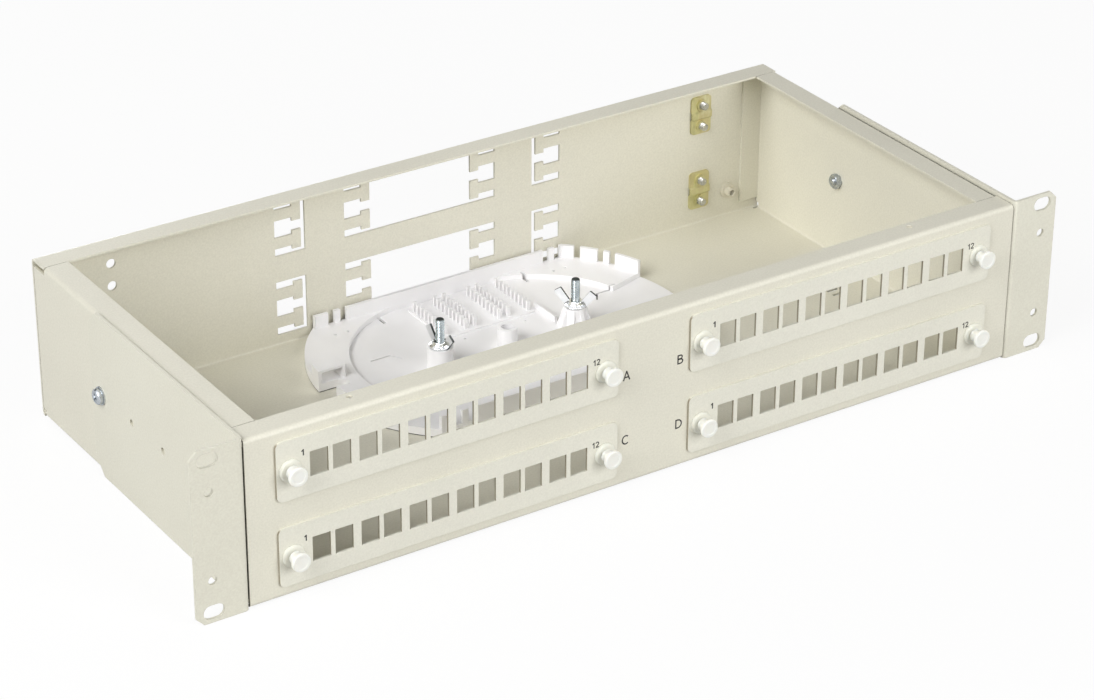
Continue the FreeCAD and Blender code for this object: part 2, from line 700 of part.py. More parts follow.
def build_plate(letter):
    """Adapter plate with pairs of coupler windows in a row."""
    body = new_body(f"adapter_plate_{letter}")
    outline = sketch_on(body, "XZ_Plane", f"plate_{letter}_outline")
    rectangle(outline, "0", "0", PLATE_WIDTH, "plate_height")
    pad(body, outline, "plate_sheet")
    corners = [dict(x=f"0 {across} {PLATE_WIDTH} / 2", z=f"0 {above} plate_height / 2")
               for across in ("-", "+") for above in ("-", "+")]
    round_edges(body, straight_edges(body, "y", *corners), "plate_corner")
    latches = sketch_on(body, "XZ_Plane", f"plate_{letter}_latch_holes", "2 * plate_sheet")
    for side in ("-", "+"):
        circle(latches, f"0 {side} {LATCH_SPACING} / 2", "0", "latch_hole")
    pocket(body, latches, "3 * plate_sheet")
    windows = sketch_on(body, "XZ_Plane", f"plate_{letter}_windows", "2 * plate_sheet")
    first = "(0 - (pair_count - 1) * pair_pitch / 2"
    for side in ("-", "+"):
        rectangle(windows, f"{first} {side} window_pitch / 2)", "0", "window_width", "window_height")
    pair = pocket(body, windows, "3 * plate_sheet")
    row = body.newObject("PartDesign::LinearPattern", f"plate_{letter}_row")
    row.Originals = [pair]
    row.Direction = (windows, ["H_Axis"])
    row.setExpression("Length", bind("(pair_count - 1) * pair_pitch"))
    row.setExpression("Occurrences", bind("pair_count"))
    body.Tip = row
    doc.recompute()
    x, z = plate_middle(letter)
    place(body, x, TRAY_FRONT, z)


def build_latch(letter, count, x, z):
    """Split sleeve through plate and wall, and the plunger that spreads it."""
    grip = "plate_sheet + tray_sheet"
    sleeve = revolved(f"latch_sleeve_{letter}{count}", [
        ("latch_bore / 2", "-latch_flange_thickness"),
        ("latch_flange / 2 - latch_edge", "-latch_flange_thickness"),
        ("latch_flange / 2", "-latch_flange_thickness + latch_edge"),
        ("latch_flange / 2", "0"),
        ("latch_barrel / 2", "0"),
        ("latch_barrel / 2", f"{grip} + latch_snap_start"),
        ("latch_snap / 2", f"{grip} + latch_snap_start"),
        ("latch_tip / 2", f"{grip} + latch_leg"),
        ("latch_bore / 2", f"{grip} + latch_leg"),
    ])
    split = sketch_on(sleeve, "XZ_Plane", f"latch_split_{letter}{count}", f"-({grip})")
    reach, half = "latch_snap", "latch_split / 2"
    polygon(split, [
        (f"-{reach}", f"-({half})"), (f"-({half})", f"-({half})"), (f"-({half})", f"-{reach}"),
        (half, f"-{reach}"), (half, f"-({half})"), (reach, f"-({half})"),
        (reach, half), (half, half), (half, reach),
        (f"-({half})", reach), (f"-({half})", half), (f"-{reach}", half),
    ])
    pocket(sleeve, split, "latch_leg")
    place(sleeve, x, PLATE_FRONT, z)
    seat = "0 - latch_flange_thickness - rest_gap"
    shoulder = f"{seat} - plunger_neck_length"
    face = f"{shoulder} - plunger_knob_length"
    plunger = revolved(f"latch_plunger_{letter}{count}", [
        ("0", f"{grip} + latch_leg - plunger_pin_short"),
        ("plunger_pin / 2", f"{grip} + latch_leg - plunger_pin_short"),
        ("plunger_pin / 2", seat),
        ("plunger_neck / 2", seat),
        ("plunger_neck / 2", shoulder),
        ("plunger_knob / 2", shoulder),
        ("plunger_knob / 2", f"{face} + plunger_round"),
        ("plunger_knob / 2 - plunger_round", face),
        ("0", face),
    ])
    place(plunger, x, PLATE_FRONT, z)


def on_end(reach, turn, row):
    """Place on a ray from the centre of the cassette's right end."""
    return f"cassette_end_centre + {reach} * cos({turn})", f"0 {row} {reach} * sin({turn})"


def build_cassette():
    """Moulded splice tray: slotted wall, decks round a coil floor, comb field, bosses for the studs."""
    body = new_body("splice_cassette")
    outline = sketch_on(body, "XY_Plane", "cassette_outline")
    lens(outline, "cassette_half_depth", "cassette_end_radius", "cassette_end_centre")
    pad(body, outline, "cassette_height")

    # cable notch in the left end
    beyond = "(cassette_end_centre + 1.2 * cassette_end_radius)"
    notch_x = "(cassette_end_centre + cassette_end_radius - notch_inset)"
    notch = sketch_on(body, "XY_Plane", "cassette_notch")
    rectangle(notch, f"0 - ({beyond} + {notch_x}) / 2", "0", f"{beyond} - {notch_x}", "notch_width")
    pocket(body, notch)
    corners = [{"x": f"0 - {notch_x}", "y": f"0 {row} notch_width / 2"} for row in ("-", "+")]
    round_edges(body, straight_edges(body, "z", *corners), "notch_round")

    # inside down to the decks of both ends, then the coil floor between its round guides
    inner_half = "(cassette_half_depth - cassette_wall)"
    guide_radius = f"({inner_half} + guide_rise)"
    decks = sketch_on(body, "XY_Plane", "cassette_decks", "cassette_height")
    lens(decks, inner_half, "cassette_end_radius - cassette_wall", "cassette_end_centre")
    pocket(body, decks, "cassette_height - deck_height")
    coil = sketch_on(body, "XY_Plane", "cassette_coil_floor", "deck_height")
    lens(coil, inner_half, guide_radius, "cassette_end_centre")
    pocket(body, coil, "deck_height - cassette_floor")

    # slots in the long walls and the right end, low walls at the left end, fibre mouth at the right
    slots = sketch_on(body, "XY_Plane", "cassette_slots", "cassette_height")
    mouth = sketch_on(body, "XY_Plane", "cassette_mouth", "cassette_height")
    near, far = "(cassette_end_radius - 2 * cassette_wall)", "(cassette_end_radius + cassette_wall)"
    corner_x = "(cassette_end_centre + sqrt(cassette_end_radius ^ 2 - cassette_half_depth ^ 2))"
    corner_turn = "asin(cassette_half_depth / cassette_end_radius)"
    bridge_end = "(notch_width / 2 + bridge_depth)"
    for row in ("-", "+"):
        wall_y = f"(0 {row} cassette_half_depth)"
        for step in ("0", "wall_slot_pitch"):
            left = f"({step} + wall_slot_left - {corner_x})"
            right = f"({corner_x} - wall_slot_right - {step})"
            for x in (left, right):
                rectangle(slots, x, wall_y, "wall_slot_width", "3 * cassette_wall")
        for below in ("end_slot_one", "end_slot_two", "end_slot_three"):
            low = f"({corner_turn} - ({below} + end_slot_sweep / 2) * 1 deg)"
            high = f"({corner_turn} - ({below} - end_slot_sweep / 2) * 1 deg)"
            spots = ((near, low), (far, low), (far, high), (near, high))
            polygon(slots, [on_end(reach, turn, row) for reach, turn in spots])
        outside_y = "(cassette_half_depth + cassette_wall)"
        polygon(slots, [(f"0 - {x}", f"0 {row} {y}")
                        for x, y in ((beyond, bridge_end), (corner_x, bridge_end),
                                     (corner_x, outside_y), (beyond, outside_y))])
    pocket(body, slots, "cassette_height - deck_height")
    edge = "end_mouth_sweep / 2 * 1 deg"
    outside = f"1.2 * {far}"
    spots = ((guide_radius, "-"), (outside, "-"), (outside, "+"), (guide_radius, "+"))
    polygon(mouth, [on_end(reach, edge, row) for reach, row in spots])
    pocket(body, mouth, "cassette_height - cassette_floor")

    # cable bridges on both sides of the notch: a strap from the end wall to a post on the deck
    posts = sketch_on(body, "XY_Plane", "cassette_bridge_posts", "deck_height")
    straps = sketch_on(body, "XY_Plane", "cassette_bridges", "cassette_height - bridge_thickness")
    for row in ("-", "+"):
        start, stop = "(notch_width / 2)", bridge_end
        post_y = f"(0 {row} ({start} + {stop}) / 2)"
        rectangle(posts, f"0 - {notch_x}", post_y, "cassette_wall", "bridge_depth")
        wall_near, wall_far = [
            f"(cassette_end_centre + sqrt(cassette_end_radius ^ 2 - {y} ^ 2) - cassette_wall / 2)"
            for y in (start, stop)]
        post_x = f"({notch_x} - cassette_wall / 2)"
        spots = ((wall_near, start), (post_x, start), (post_x, stop), (wall_far, stop))
        polygon(straps, [(f"0 - {x}", f"0 {row} {y}") for x, y in spots])
    pad(body, posts, "cassette_height - deck_height")
    pad(body, straps, "bridge_thickness")

    # pivot boss, the plain left stud boss and the ribbed right one
    bosses = sketch_on(body, "XY_Plane", "cassette_pivot_boss", "cassette_floor")
    circle(bosses, "pivot_boss_x", "pivot_boss_y", "pivot_boss")
    pad(body, bosses, "pivot_boss_height - cassette_floor")
    hollow = sketch_on(body, "XY_Plane", "cassette_pivot_bore", "pivot_boss_height")
    circle(hollow, "pivot_boss_x", "pivot_boss_y", "pivot_boss_bore")
    pocket(body, hollow, "pivot_boss_depth")
    stud_left, stud_right = "0 - stud_spacing / 2", "stud_spacing / 2"
    tall = sketch_on(body, "XY_Plane", "cassette_stud_bosses", "cassette_floor")
    circle(tall, stud_left, "stud_y", "stud_boss")
    circle(tall, stud_right, "stud_y", "rib_boss")
    pad(body, tall, "stud_boss_height - cassette_floor")
    rib = sketch_on(body, "XZ_Plane", "cassette_rib", "-stud_y", right=stud_right)
    polygon(rib, [("0", "cassette_floor"), ("rib_reach", "cassette_floor"),
                  ("rib_boss / 2", "stud_boss_height"), ("0", "stud_boss_height")])
    gusset = pad(body, rib, "rib_thickness", symmetric=True)
    ring = sketch_on(body, "XY_Plane", "cassette_rib_ring", right=stud_right, up="stud_y")
    ribs = body.newObject("PartDesign::PolarPattern", "cassette_ribs")
    ribs.Originals = [gusset]
    ribs.Axis = (ring, ["N_Axis"])
    ribs.Angle = 360
    ribs.setExpression("Occurrences", bind("rib_count"))
    body.Tip = ribs
    doc.recompute()

    # stud bores, clip slots, ejector holes and the slits of the two spring tongues
    comb_y = f"({inner_half} - comb_wall_gap - comb_pad_depth / 2)"
    clip_y = f"({inner_half} - clip_wall_gap - clip_slot_length / 2)"
    floor_pin_y = f"({comb_y} - comb_pad_depth / 2 - floor_pin_gap)"
    deck_pin_y = f"({inner_half} - deck_pin_wall_gap)"
    bores = sketch_on(body, "XY_Plane", "cassette_bores")
    circle(bores, stud_left, "stud_y", "stud_diameter + 2 * stud_clearance")
    circle(bores, stud_right, "stud_y", "stud_diameter + 2 * stud_clearance")
    for side in ("-", "+"):
        rectangle(bores, f"(comb_offset {side} clip_slot_spacing / 2)", clip_y,
                  "clip_slot_width", "clip_slot_length")
        circle(bores, f"comb_offset {side} floor_pin_spacing / 2", floor_pin_y, "pin_hole")
        for step in ("-", "+"):
            circle(bores, f"0 {side} (deck_pin_x {step} deck_pin_pitch / 2)", deck_pin_y, "pin_hole")
        outer, inner = "(slit_y + slit_width)", "slit_y"
        polygon(bores, [(f"slit_offset {side} slit_far", inner), (f"slit_offset {side} slit_bend", inner),
                        (f"slit_offset {side} slit_tip", f"{inner} - slit_drop"),
                        (f"slit_offset {side} (slit_tip - slit_width)", f"{inner} - slit_drop"),
                        (f"slit_offset {side} (slit_bend - slit_width / 2)", outer),
                        (f"slit_offset {side} slit_far", outer)])
    pocket(body, bores)

    # comb field: a raised pad with rows of teeth, and the low fence beside it
    comb = sketch_on(body, "XY_Plane", "cassette_comb_pad", "cassette_floor")
    rectangle(comb, "comb_offset", comb_y, "comb_pad_width", "comb_pad_depth")
    pad(body, comb, "comb_pad_height")
    tooth = sketch_on(body, "XY_Plane", "cassette_teeth", "cassette_floor")
    first = f"({comb_y} - (tooth_count - 1) * tooth_pitch / 2)"
    for row in ("comb_row_outer", "comb_row_middle", "comb_row_inner"):
        for side in ("-", "+"):
            rectangle(tooth, f"(comb_offset {side} {row})", first, "tooth_length", "tooth_width")
    teeth = pad(body, tooth, "tooth_height")
    field = body.newObject("PartDesign::LinearPattern", "cassette_comb_field")
    field.Originals = [teeth]
    field.Direction = (tooth, ["V_Axis"])
    field.setExpression("Length", bind("(tooth_count - 1) * tooth_pitch"))
    field.setExpression("Occurrences", bind("tooth_count"))
    body.Tip = field
    doc.recompute()
    fence = sketch_on(body, "XY_Plane", "cassette_fence", "cassette_floor")
    rectangle(fence, "fence_x", "fence_y", "fence_thickness", "fence_length")
    pad(body, fence, "fence_height")
    place(body, "cassette_x", CASSETTE_Y, CASSETTE_BASE)


def build_stud(name):
    """Weld stud on the base, its collar under the cassette."""
    side = SIDES[name]
    top = "stud_length"
    body = revolved(f"{name}_cassette_stud", [
        ("0", "0"), ("stud_collar / 2", "0"), ("stud_collar / 2", "cassette_lift"),
        ("stud_diameter / 2", "cassette_lift"), ("stud_diameter / 2", f"{top} - stud_chamfer"),
        ("stud_diameter / 2 - stud_chamfer", top), ("0", top),
    ])
    place(body, f"cassette_x {side} stud_spacing / 2", f"{CASSETTE_Y} + stud_y", TRAY_FLOOR,
          Vector(1, 0, 0), "90")


def build_wing_nut(name):
    """Stamped wing nut: disc, collar and two wings bent up."""
    side = SIDES[name]
    body = new_body(f"{name}_wing_nut")
    disc = sketch_on(body, "XY_Plane", f"{name}_nut_disc")
    circle(disc, "0", "0", "wing_disc")
    pad(body, disc, "wing_disc_thickness")
    collar = sketch_on(body, "XY_Plane", f"{name}_nut_collar")
    hexagon(collar, "wing_collar_across")
    pad(body, collar, "wing_collar_height")
    wings = sketch_on(body, "XZ_Plane", f"{name}_nut_wings")
    for hand in ("-", "+"):
        foot, tip = "wing_start", "wing_start + wing_reach"
        polygon(wings, [
            (f"0 {hand} ({foot})", "0"), (f"0 {hand} ({foot} + wing_section)", "0"),
            (f"0 {hand} ({tip} + wing_section)", "wing_rise"), (f"0 {hand} ({tip})", "wing_rise"),
        ])
    pad(body, wings, "wing_width", symmetric=True)
    bore = sketch_on(body, "XY_Plane", f"{name}_nut_bore")
    circle(bore, "0", "0", "stud_diameter + 2 * nut_clearance")
    pocket(body, bore)
    place(body, f"cassette_x {side} stud_spacing / 2", f"{CASSETTE_Y} + stud_y",
          f"{CASSETTE_BASE} + stud_boss_height + nut_seat_gap", angle=f"{name}_nut_turn")


def build_clamp(name, above):
    """Clamp plate with a pressed groove and two extruded threads."""
    body = new_body(f"{name}_cable_clamp")
    end, foot = "clamp_height / 2", "clamp_groove + clamp_groove_depth"
    profile = sketch_on(body, "YZ_Plane", f"{name}_clamp_profile")
    raised = "-clamp_groove_depth"
    polygon(profile, [
        ("0", f"-({end})"), ("0", f"-({foot})"), (raised, "-clamp_groove"), (raised, "clamp_groove"),
        ("0", foot), ("0", end), ("-clamp_sheet", end), ("-clamp_sheet", foot),
        (f"{raised} - clamp_sheet", "clamp_groove"), (f"{raised} - clamp_sheet", "-clamp_groove"),
        ("-clamp_sheet", f"-({foot})"), ("-clamp_sheet", f"-({end})"),
    ])
    pad(body, profile, "clamp_width", symmetric=True)
    corners = [dict(x=f"0 {across} clamp_width / 2", z=f"0 {up} {end}")
               for across in ("-", "+") for up in ("-", "+")]
    round_edges(body, straight_edges(body, "y", *corners), "clamp_corner")
    collars = sketch_on(body, "XZ_Plane", f"{name}_clamp_collars", "clamp_sheet / 2")
    threads = sketch_on(body, "XZ_Plane", f"{name}_clamp_threads")
    for up in ("-", "+"):
        circle(collars, "0", f"0 {up} clamp_hole_pitch / 2", "clamp_collar")
        circle(threads, "0", f"0 {up} clamp_hole_pitch / 2", "screw_thread + 2 * thread_clearance")
    pad(body, collars, "clamp_sheet / 2 + clamp_collar_height")
    pocket(body, threads)
    place(body, CLAMP_X, f"{TRAY_REAR} - tray_sheet", f"{CUTOUT_MIDDLE} {above} cutout_rise / 2")


def build_clamp_screw(count, above, up):
    """Screw through the rear wall into a clamp."""
    reach = f"tray_sheet + {CLAMP_INNER} + clamp_screw_tail"
    body = revolved(f"clamp_screw_{count}", [
        ("0", f"-({reach})"), ("screw_thread / 2", f"-({reach})"), ("screw_thread / 2", "0"),
        ("screw_head / 2", "0"), ("screw_head / 2", "screw_head_height - screw_head_round"),
        ("screw_head / 2 - screw_head_round", "screw_head_height"), ("0", "screw_head_height"),
    ])
    z = f"{CUTOUT_MIDDLE} {above} cutout_rise / 2 {up} clamp_hole_pitch / 2"
    place(body, CLAMP_X, TRAY_REAR, z)


def build_earth_insert():
    """Blind threaded insert set in the rear wall."""
    shank = "earth_hole / 2 - earth_fit"
    outside = "tray_sheet + earth_flange_thickness"
    inside = "0 - earth_bulge_length"
    tail = f"{inside} - earth_tail_length"
    body = revolved("earth_insert", [
        ("earth_bore / 2", tail), ("earth_tail / 2", tail), ("earth_tail / 2", inside),
        ("earth_bulge / 2", inside), ("earth_bulge / 2", "0"), (shank, "0"), (shank, "tray_sheet"),
        ("earth_flange / 2", "tray_sheet"), ("earth_flange / 2", outside), ("earth_bore / 2", outside),
    ])
    place(body, EARTH_X, f"{TRAY_REAR} - tray_sheet", EARTH_Z)


build_tray()
for name in SIDES:
    build_bracket(name)
    build_bracket_fixing(name)
for letter in PLATES:
    build_plate(letter)
    for count, (x, z) in enumerate(latch_middles(letter), start=1):
        build_latch(letter, count, x, z)
build_cassette()
for name in SIDES:
    build_stud(name)
    build_wing_nut(name)
for row, (name, above) in enumerate((("lower", "-"), ("upper", "+"))):
    build_clamp(name, above)
    build_clamp_screw(2 * row + 1, above, "-")
    build_clamp_screw(2 * row + 2, above, "+")
build_earth_insert()

doc.recompute()
broken = [item.Name for item in doc.Objects if "Invalid" in item.State or "Error" in item.State]
broken += [piece.Label for piece in pieces if piece.Shape.isNull() or not piece.Shape.isValid()]
if broken:
    raise RuntimeError("failed: " + ", ".join(broken))
os.makedirs("parts", exist_ok=True)
for piece in pieces:
    piece.Shape.exportStep(f"parts/{piece.Label}.step")
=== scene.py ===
import json
import math
from functools import partial

import bmesh
import bpy
from mathutils import Matrix, Vector


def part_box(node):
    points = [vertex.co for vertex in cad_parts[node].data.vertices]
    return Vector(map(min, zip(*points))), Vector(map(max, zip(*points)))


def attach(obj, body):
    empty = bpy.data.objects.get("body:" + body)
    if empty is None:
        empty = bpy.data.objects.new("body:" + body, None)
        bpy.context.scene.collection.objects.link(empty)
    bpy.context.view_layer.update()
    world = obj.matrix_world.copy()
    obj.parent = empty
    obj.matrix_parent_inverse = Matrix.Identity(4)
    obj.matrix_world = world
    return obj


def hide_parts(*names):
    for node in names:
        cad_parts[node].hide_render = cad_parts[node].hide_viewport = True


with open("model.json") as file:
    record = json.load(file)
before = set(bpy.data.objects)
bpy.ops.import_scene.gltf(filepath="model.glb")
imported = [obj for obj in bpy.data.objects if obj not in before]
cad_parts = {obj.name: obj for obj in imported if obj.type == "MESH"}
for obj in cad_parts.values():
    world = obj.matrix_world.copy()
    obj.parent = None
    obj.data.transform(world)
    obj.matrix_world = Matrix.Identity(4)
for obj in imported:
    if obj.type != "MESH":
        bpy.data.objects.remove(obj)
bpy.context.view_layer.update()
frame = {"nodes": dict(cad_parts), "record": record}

# Fibre patch panel: finishes, latches, fasteners, print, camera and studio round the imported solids
# Pieces of the panel are in millimetres until a mesh is made, materials and studio in metres

MM = 0.001
nodes = frame["nodes"]
PLATES = ("a", "b", "c", "d")
SIDES = {"left": -1, "right": 1}


def srgb(red, green, blue):
    """Linear colour of an 8-bit screen colour."""
    def linear(value):
        value /= 255
        return value / 12.92 if value <= 0.04045 else ((value + 0.055) / 1.055) ** 2.4
    return linear(red), linear(green), linear(blue), 1.0


def middle(node):
    """Middle of a solid's box, in millimetres."""
    low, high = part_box(node)
    return (Vector(low) + Vector(high)) / 2 / MM


# Materials

# Sockets of the mix node go by number, because their names repeat
NUMBER_SHARE, NUMBER_A, NUMBER_B, NUMBER_RESULT = 0, 2, 3, 0
COLOUR_A, COLOUR_B, COLOUR_RESULT = 6, 7, 2


class Material:
    """Node material with one principled shader and helpers that wire procedural detail into it."""

    def __init__(self, name):
        self.data = bpy.data.materials.new(name)
        self.data.use_nodes = True
        self.tree = self.data.node_tree
        self.shader = self.tree.nodes["Principled BSDF"]
        self.place = self.node("ShaderNodeTexCoord").outputs["Object"]

    def node(self, kind, **values):
        """New node with some of its settings given."""
        made = self.tree.nodes.new(kind)
        for key, value in values.items():
            setattr(made, key, value)
        return made

    def link(self, start, end):
        """Wire an output to an input."""
        self.tree.links.new(start, end)

    def set(self, **values):
        """Plain values for the shader, an underscore standing for a space in a name."""
        for key, value in values.items():
            self.shader.inputs[key.replace("_", " ")].default_value = value

    def noise(self, scale, detail=2.0, rough=0.5, stretch=None):
        """Noise over the object's own place, which may be stretched along an axis."""
        made = self.node("ShaderNodeTexNoise")
        made.inputs["Scale"].default_value = scale
        made.inputs["Detail"].default_value = detail
        made.inputs["Roughness"].default_value = rough
        source = self.place
        if stretch:
            mapping = self.node("ShaderNodeMapping")
            mapping.inputs["Scale"].default_value = stretch
            self.link(source, mapping.inputs["Vector"])
            source = mapping.outputs["Vector"]
        self.link(source, made.inputs["Vector"])
        return made.outputs["Fac"]

    def ramp(self, value, stops):
        """Colour by value, from stops of position and colour."""
        made = self.node("ShaderNodeValToRGB")
        elements = made.color_ramp.elements
        while len(elements) < len(stops):
            elements.new(0.5)
        for element, (position, colour) in zip(elements, stops):
            element.position = position
            element.color = colour
        self.link(value, made.inputs["Fac"])
        return made.outputs["Color"]

    def span(self, value, low, high, start=0.3, end=0.7):
        """Value that goes from low to high while the given one goes from start to end."""
        made = self.node("ShaderNodeMapRange")
        made.inputs["From Min"].default_value = start
        made.inputs["From Max"].default_value = end
        made.inputs["To Min"].default_value = low
        made.inputs["To Max"].default_value = high
        self.link(value, made.inputs["Value"])
        return made.outputs["Result"]

    def colour(self, output):
        """Use an output as the base colour."""
        self.link(output, self.shader.inputs["Base Color"])

    def roughness(self, output):
        """Use an output as the roughness."""
        self.link(output, self.shader.inputs["Roughness"])

    def soft_edges(self, radius):
        """Normal that rolls over sharp edges."""
        made = self.node("ShaderNodeBevel", samples=4)
        made.inputs["Radius"].default_value = radius
        return made.outputs["Normal"]

    def sideways(self):
        """1 on faces that look along X, 0 on the others."""
        split = self.node("ShaderNodeSeparateXYZ")
        self.link(self.node("ShaderNodeTexCoord").outputs["Normal"], split.inputs["Vector"])
        size = self.node("ShaderNodeMath", operation="ABSOLUTE")
        self.link(split.outputs["X"], size.inputs[0])
        return self.span(size.outputs["Value"], low=0.0, high=1.0, start=0.5, end=0.8)

    def painted_gap_shade(self, reach):
        """1 deep in narrow gaps, 0 on open faces and in plain corners: the mask for painted shade in gaps.
        """
        made = self.node("ShaderNodeAmbientOcclusion", samples=12)
        made.inputs["Distance"].default_value = reach
        return self.span(made.outputs["AO"], low=1.0, high=0.0, start=0.14, end=0.44)

    def blended(self, one, other, share):
        """Weighted mean of two values."""
        made = self.node("ShaderNodeMix")
        made.inputs[NUMBER_SHARE].default_value = share
        self.link(one, made.inputs[NUMBER_A])
        self.link(other, made.inputs[NUMBER_B])
        return made.outputs[NUMBER_RESULT]

    def mixed(self, share, base, other):
        """Colour output that goes from the base to a plain colour."""
        made = self.node("ShaderNodeMix", data_type="RGBA")
        self.link(share, made.inputs["Factor"])
        self.link(base, made.inputs[COLOUR_A])
        made.inputs[COLOUR_B].default_value = other
        return made.outputs[COLOUR_RESULT]

    def bump(self, height, distance, strength, below=None):
        """Fine relief on the shader, on top of the normal below it."""
        made = self.node("ShaderNodeBump")
        made.inputs["Distance"].default_value = distance
        made.inputs["Strength"].default_value = strength
        self.link(height, made.inputs["Height"])
        if below is not None:
            self.link(below, made.inputs["Normal"])
        self.link(made.outputs["Normal"], self.shader.inputs["Normal"])
        return made.outputs["Normal"]


COAT_EDGE, PLASTIC_EDGE = 0.00028, 0.00022
# Near-black colour mixed into a coat deep in narrow gaps: painted shade where little light reaches
SEAM_REACH, SEAM_PAINTED_SHADE = 0.0025, srgb(34, 32, 26)
SLOT_REACH = 0.0013
PLATING_GRAIN = 0.00001


def powder_coat(name, light, dark, grain=700.0, depth=0.00012, side_edge_painted_shade=None):
    """Cream powder coat: fine orange peel, slight clouds of tone, painted shade deep in narrow gaps and,
    where given, painted shade on edge faces that look along X.
    """
    coat = Material(name)
    drift = coat.noise(scale=14.0, detail=3.0)
    speckle = coat.noise(scale=grain * 1.5, rough=0.55)
    tone = coat.ramp(coat.blended(drift, speckle, share=0.65), [(0.36, dark), (0.64, light)])
    # Edge faces that look along X are darkened: painted shade on the sides the light does not reach
    if side_edge_painted_shade:
        tone = coat.mixed(coat.sideways(), tone, side_edge_painted_shade)
    # Deep in narrow gaps the coat's colour goes to painted shade
    coat.colour(coat.mixed(coat.painted_gap_shade(SEAM_REACH), tone, SEAM_PAINTED_SHADE))
    coat.roughness(coat.span(coat.noise(scale=420.0), low=0.42, high=0.56))
    fine, wavy = coat.noise(scale=grain, rough=0.55), coat.noise(scale=grain * 0.28, detail=1.0)
    peel = coat.bump(fine, distance=depth, strength=0.7, below=coat.soft_edges(COAT_EDGE))
    coat.bump(wavy, distance=depth * 1.5, strength=0.25, below=peel)
    coat.set(Specular_IOR_Level=0.42)
    return coat.data


def plated_steel(name, light, dark, rough=(0.2, 0.36), rim=(0.6, 0.62, 0.63, 1.0)):
    """Zinc plating: cool and a little cloudy; the rim colour tints grazing reflections, and a near-black rim
    paints them dark.
    """
    plating = Material(name)
    plating.set(Metallic=1.0, Specular_Tint=rim)
    plating.colour(plating.ramp(plating.noise(scale=220.0), [(0.32, dark), (0.68, light)]))
    plating.roughness(plating.span(plating.noise(scale=500.0), *rough))
    plating.bump(plating.noise(scale=1600.0), distance=PLATING_GRAIN, strength=0.4)
    return plating.data


def moulded(name, light, dark, rough, bleed, grain=1400.0, depth=0.00002, slot_painted_shade=None):
    """Moulded thermoplastic with a faint satin grain, some light inside and, where given, painted shade deep
    in narrow slots.
    """
    plastic = Material(name)
    tone = plastic.ramp(plastic.noise(scale=60.0, detail=3.0), [(0.3, dark), (0.7, light)])
    # Deep in narrow slots the plastic's colour goes to painted shade
    if slot_painted_shade:
        tone = plastic.mixed(plastic.painted_gap_shade(SLOT_REACH), tone, slot_painted_shade)
    plastic.colour(tone)
    plastic.roughness(plastic.span(plastic.noise(scale=500.0), *rough))
    edges = plastic.soft_edges(PLASTIC_EDGE)
    plastic.bump(plastic.noise(scale=grain), distance=depth, strength=0.35, below=edges)
    plastic.set(Subsurface_Weight=bleed, Subsurface_Scale=0.0015, Subsurface_Radius=(1.0, 0.9, 0.75))
    plastic.set(Specular_IOR_Level=0.45)
    return plastic.data


def chromate(name):
    """Yellow chromate: pale gold with drifts of green and brass."""
    film = Material(name)
    film.set(Metallic=0.55)
    drift = film.noise(scale=130.0, detail=3.0, rough=0.6, stretch=(1.0, 1.0, 0.45))
    film.colour(film.ramp(drift, [
        (0.28, srgb(186, 182, 134)), (0.44, srgb(212, 207, 156)),
        (0.58, srgb(204, 194, 148)), (0.74, srgb(224, 221, 184)),
    ]))
    film.roughness(film.span(film.noise(scale=600.0, detail=3.0), low=0.34, high=0.5))
    film.bump(film.noise(scale=1500.0), distance=PLATING_GRAIN, strength=0.4)
    return film.data


def printed_ink(name):
    """Screen print: warm black with thin spots."""
    print_film = Material(name)
    spots = print_film.noise(scale=2600.0, detail=3.0)
    print_film.colour(print_film.ramp(spots, [(0.25, srgb(62, 59, 54)), (0.5, srgb(34, 32, 30))]))
    print_film.roughness(print_film.span(print_film.noise(scale=1500.0), low=0.4, high=0.6))
    return print_film.data


finish = {
    "tray_coat": powder_coat("tray_coat", srgb(229, 226, 211), srgb(220, 217, 202)),
    "bracket_coat": powder_coat("bracket_coat", srgb(227, 225, 210), srgb(219, 216, 201)),
    # The plates' darker colour for edges that look along X is painted shade
    "plate_coat": powder_coat("plate_coat", srgb(231, 229, 216), srgb(223, 221, 208),
                              grain=800.0, depth=0.0001, side_edge_painted_shade=srgb(160, 152, 134)),
    "earth_coat": powder_coat("earth_coat", srgb(224, 219, 202), srgb(216, 211, 194)),
    "zinc": plated_steel("zinc", srgb(206, 210, 214), srgb(176, 182, 188)),
    # The stud's near-black rim tint paints dark reflections along its grazing edges
    "stud_zinc": plated_steel("stud_zinc", srgb(206, 215, 218), srgb(188, 198, 202),
                              rough=(0.12, 0.2), rim=(0.05, 0.06, 0.06, 1.0)),
    "wing_nut_zinc": plated_steel("wing_nut_zinc", srgb(240, 241, 242), srgb(226, 228, 230),
                                  rough=(0.1, 0.18)),
    "clamp_screw_zinc": plated_steel("clamp_screw_zinc", srgb(210, 210, 206), srgb(182, 182, 178)),
    "chromate": chromate("chromate"),
    "sleeve_nylon": moulded("sleeve_nylon", srgb(230, 230, 219), srgb(226, 225, 213),
                            rough=(0.34, 0.46), bleed=0.25),
    "plunger_nylon": moulded("plunger_nylon", srgb(242, 242, 237), srgb(238, 238, 231),
                             rough=(0.32, 0.44), bleed=0.25),
    # The cassette's grey for narrow slots is painted shade
    "cassette_plastic": moulded("cassette_plastic", srgb(248, 247, 248), srgb(245, 244, 245),
                                rough=(0.3, 0.38), bleed=0.0, grain=2200.0, depth=0.000006,
                                slot_painted_shade=srgb(96, 93, 96)),
}
ink = printed_ink("label_ink")
# Dark steel for sheared stud ends and wing edges: bare steel, darkened further as painted dark reflection
sheared = plated_steel("sheared_steel_and_dark_reflection", srgb(96, 100, 100), srgb(62, 66, 66), rough=(0.3, 0.45))

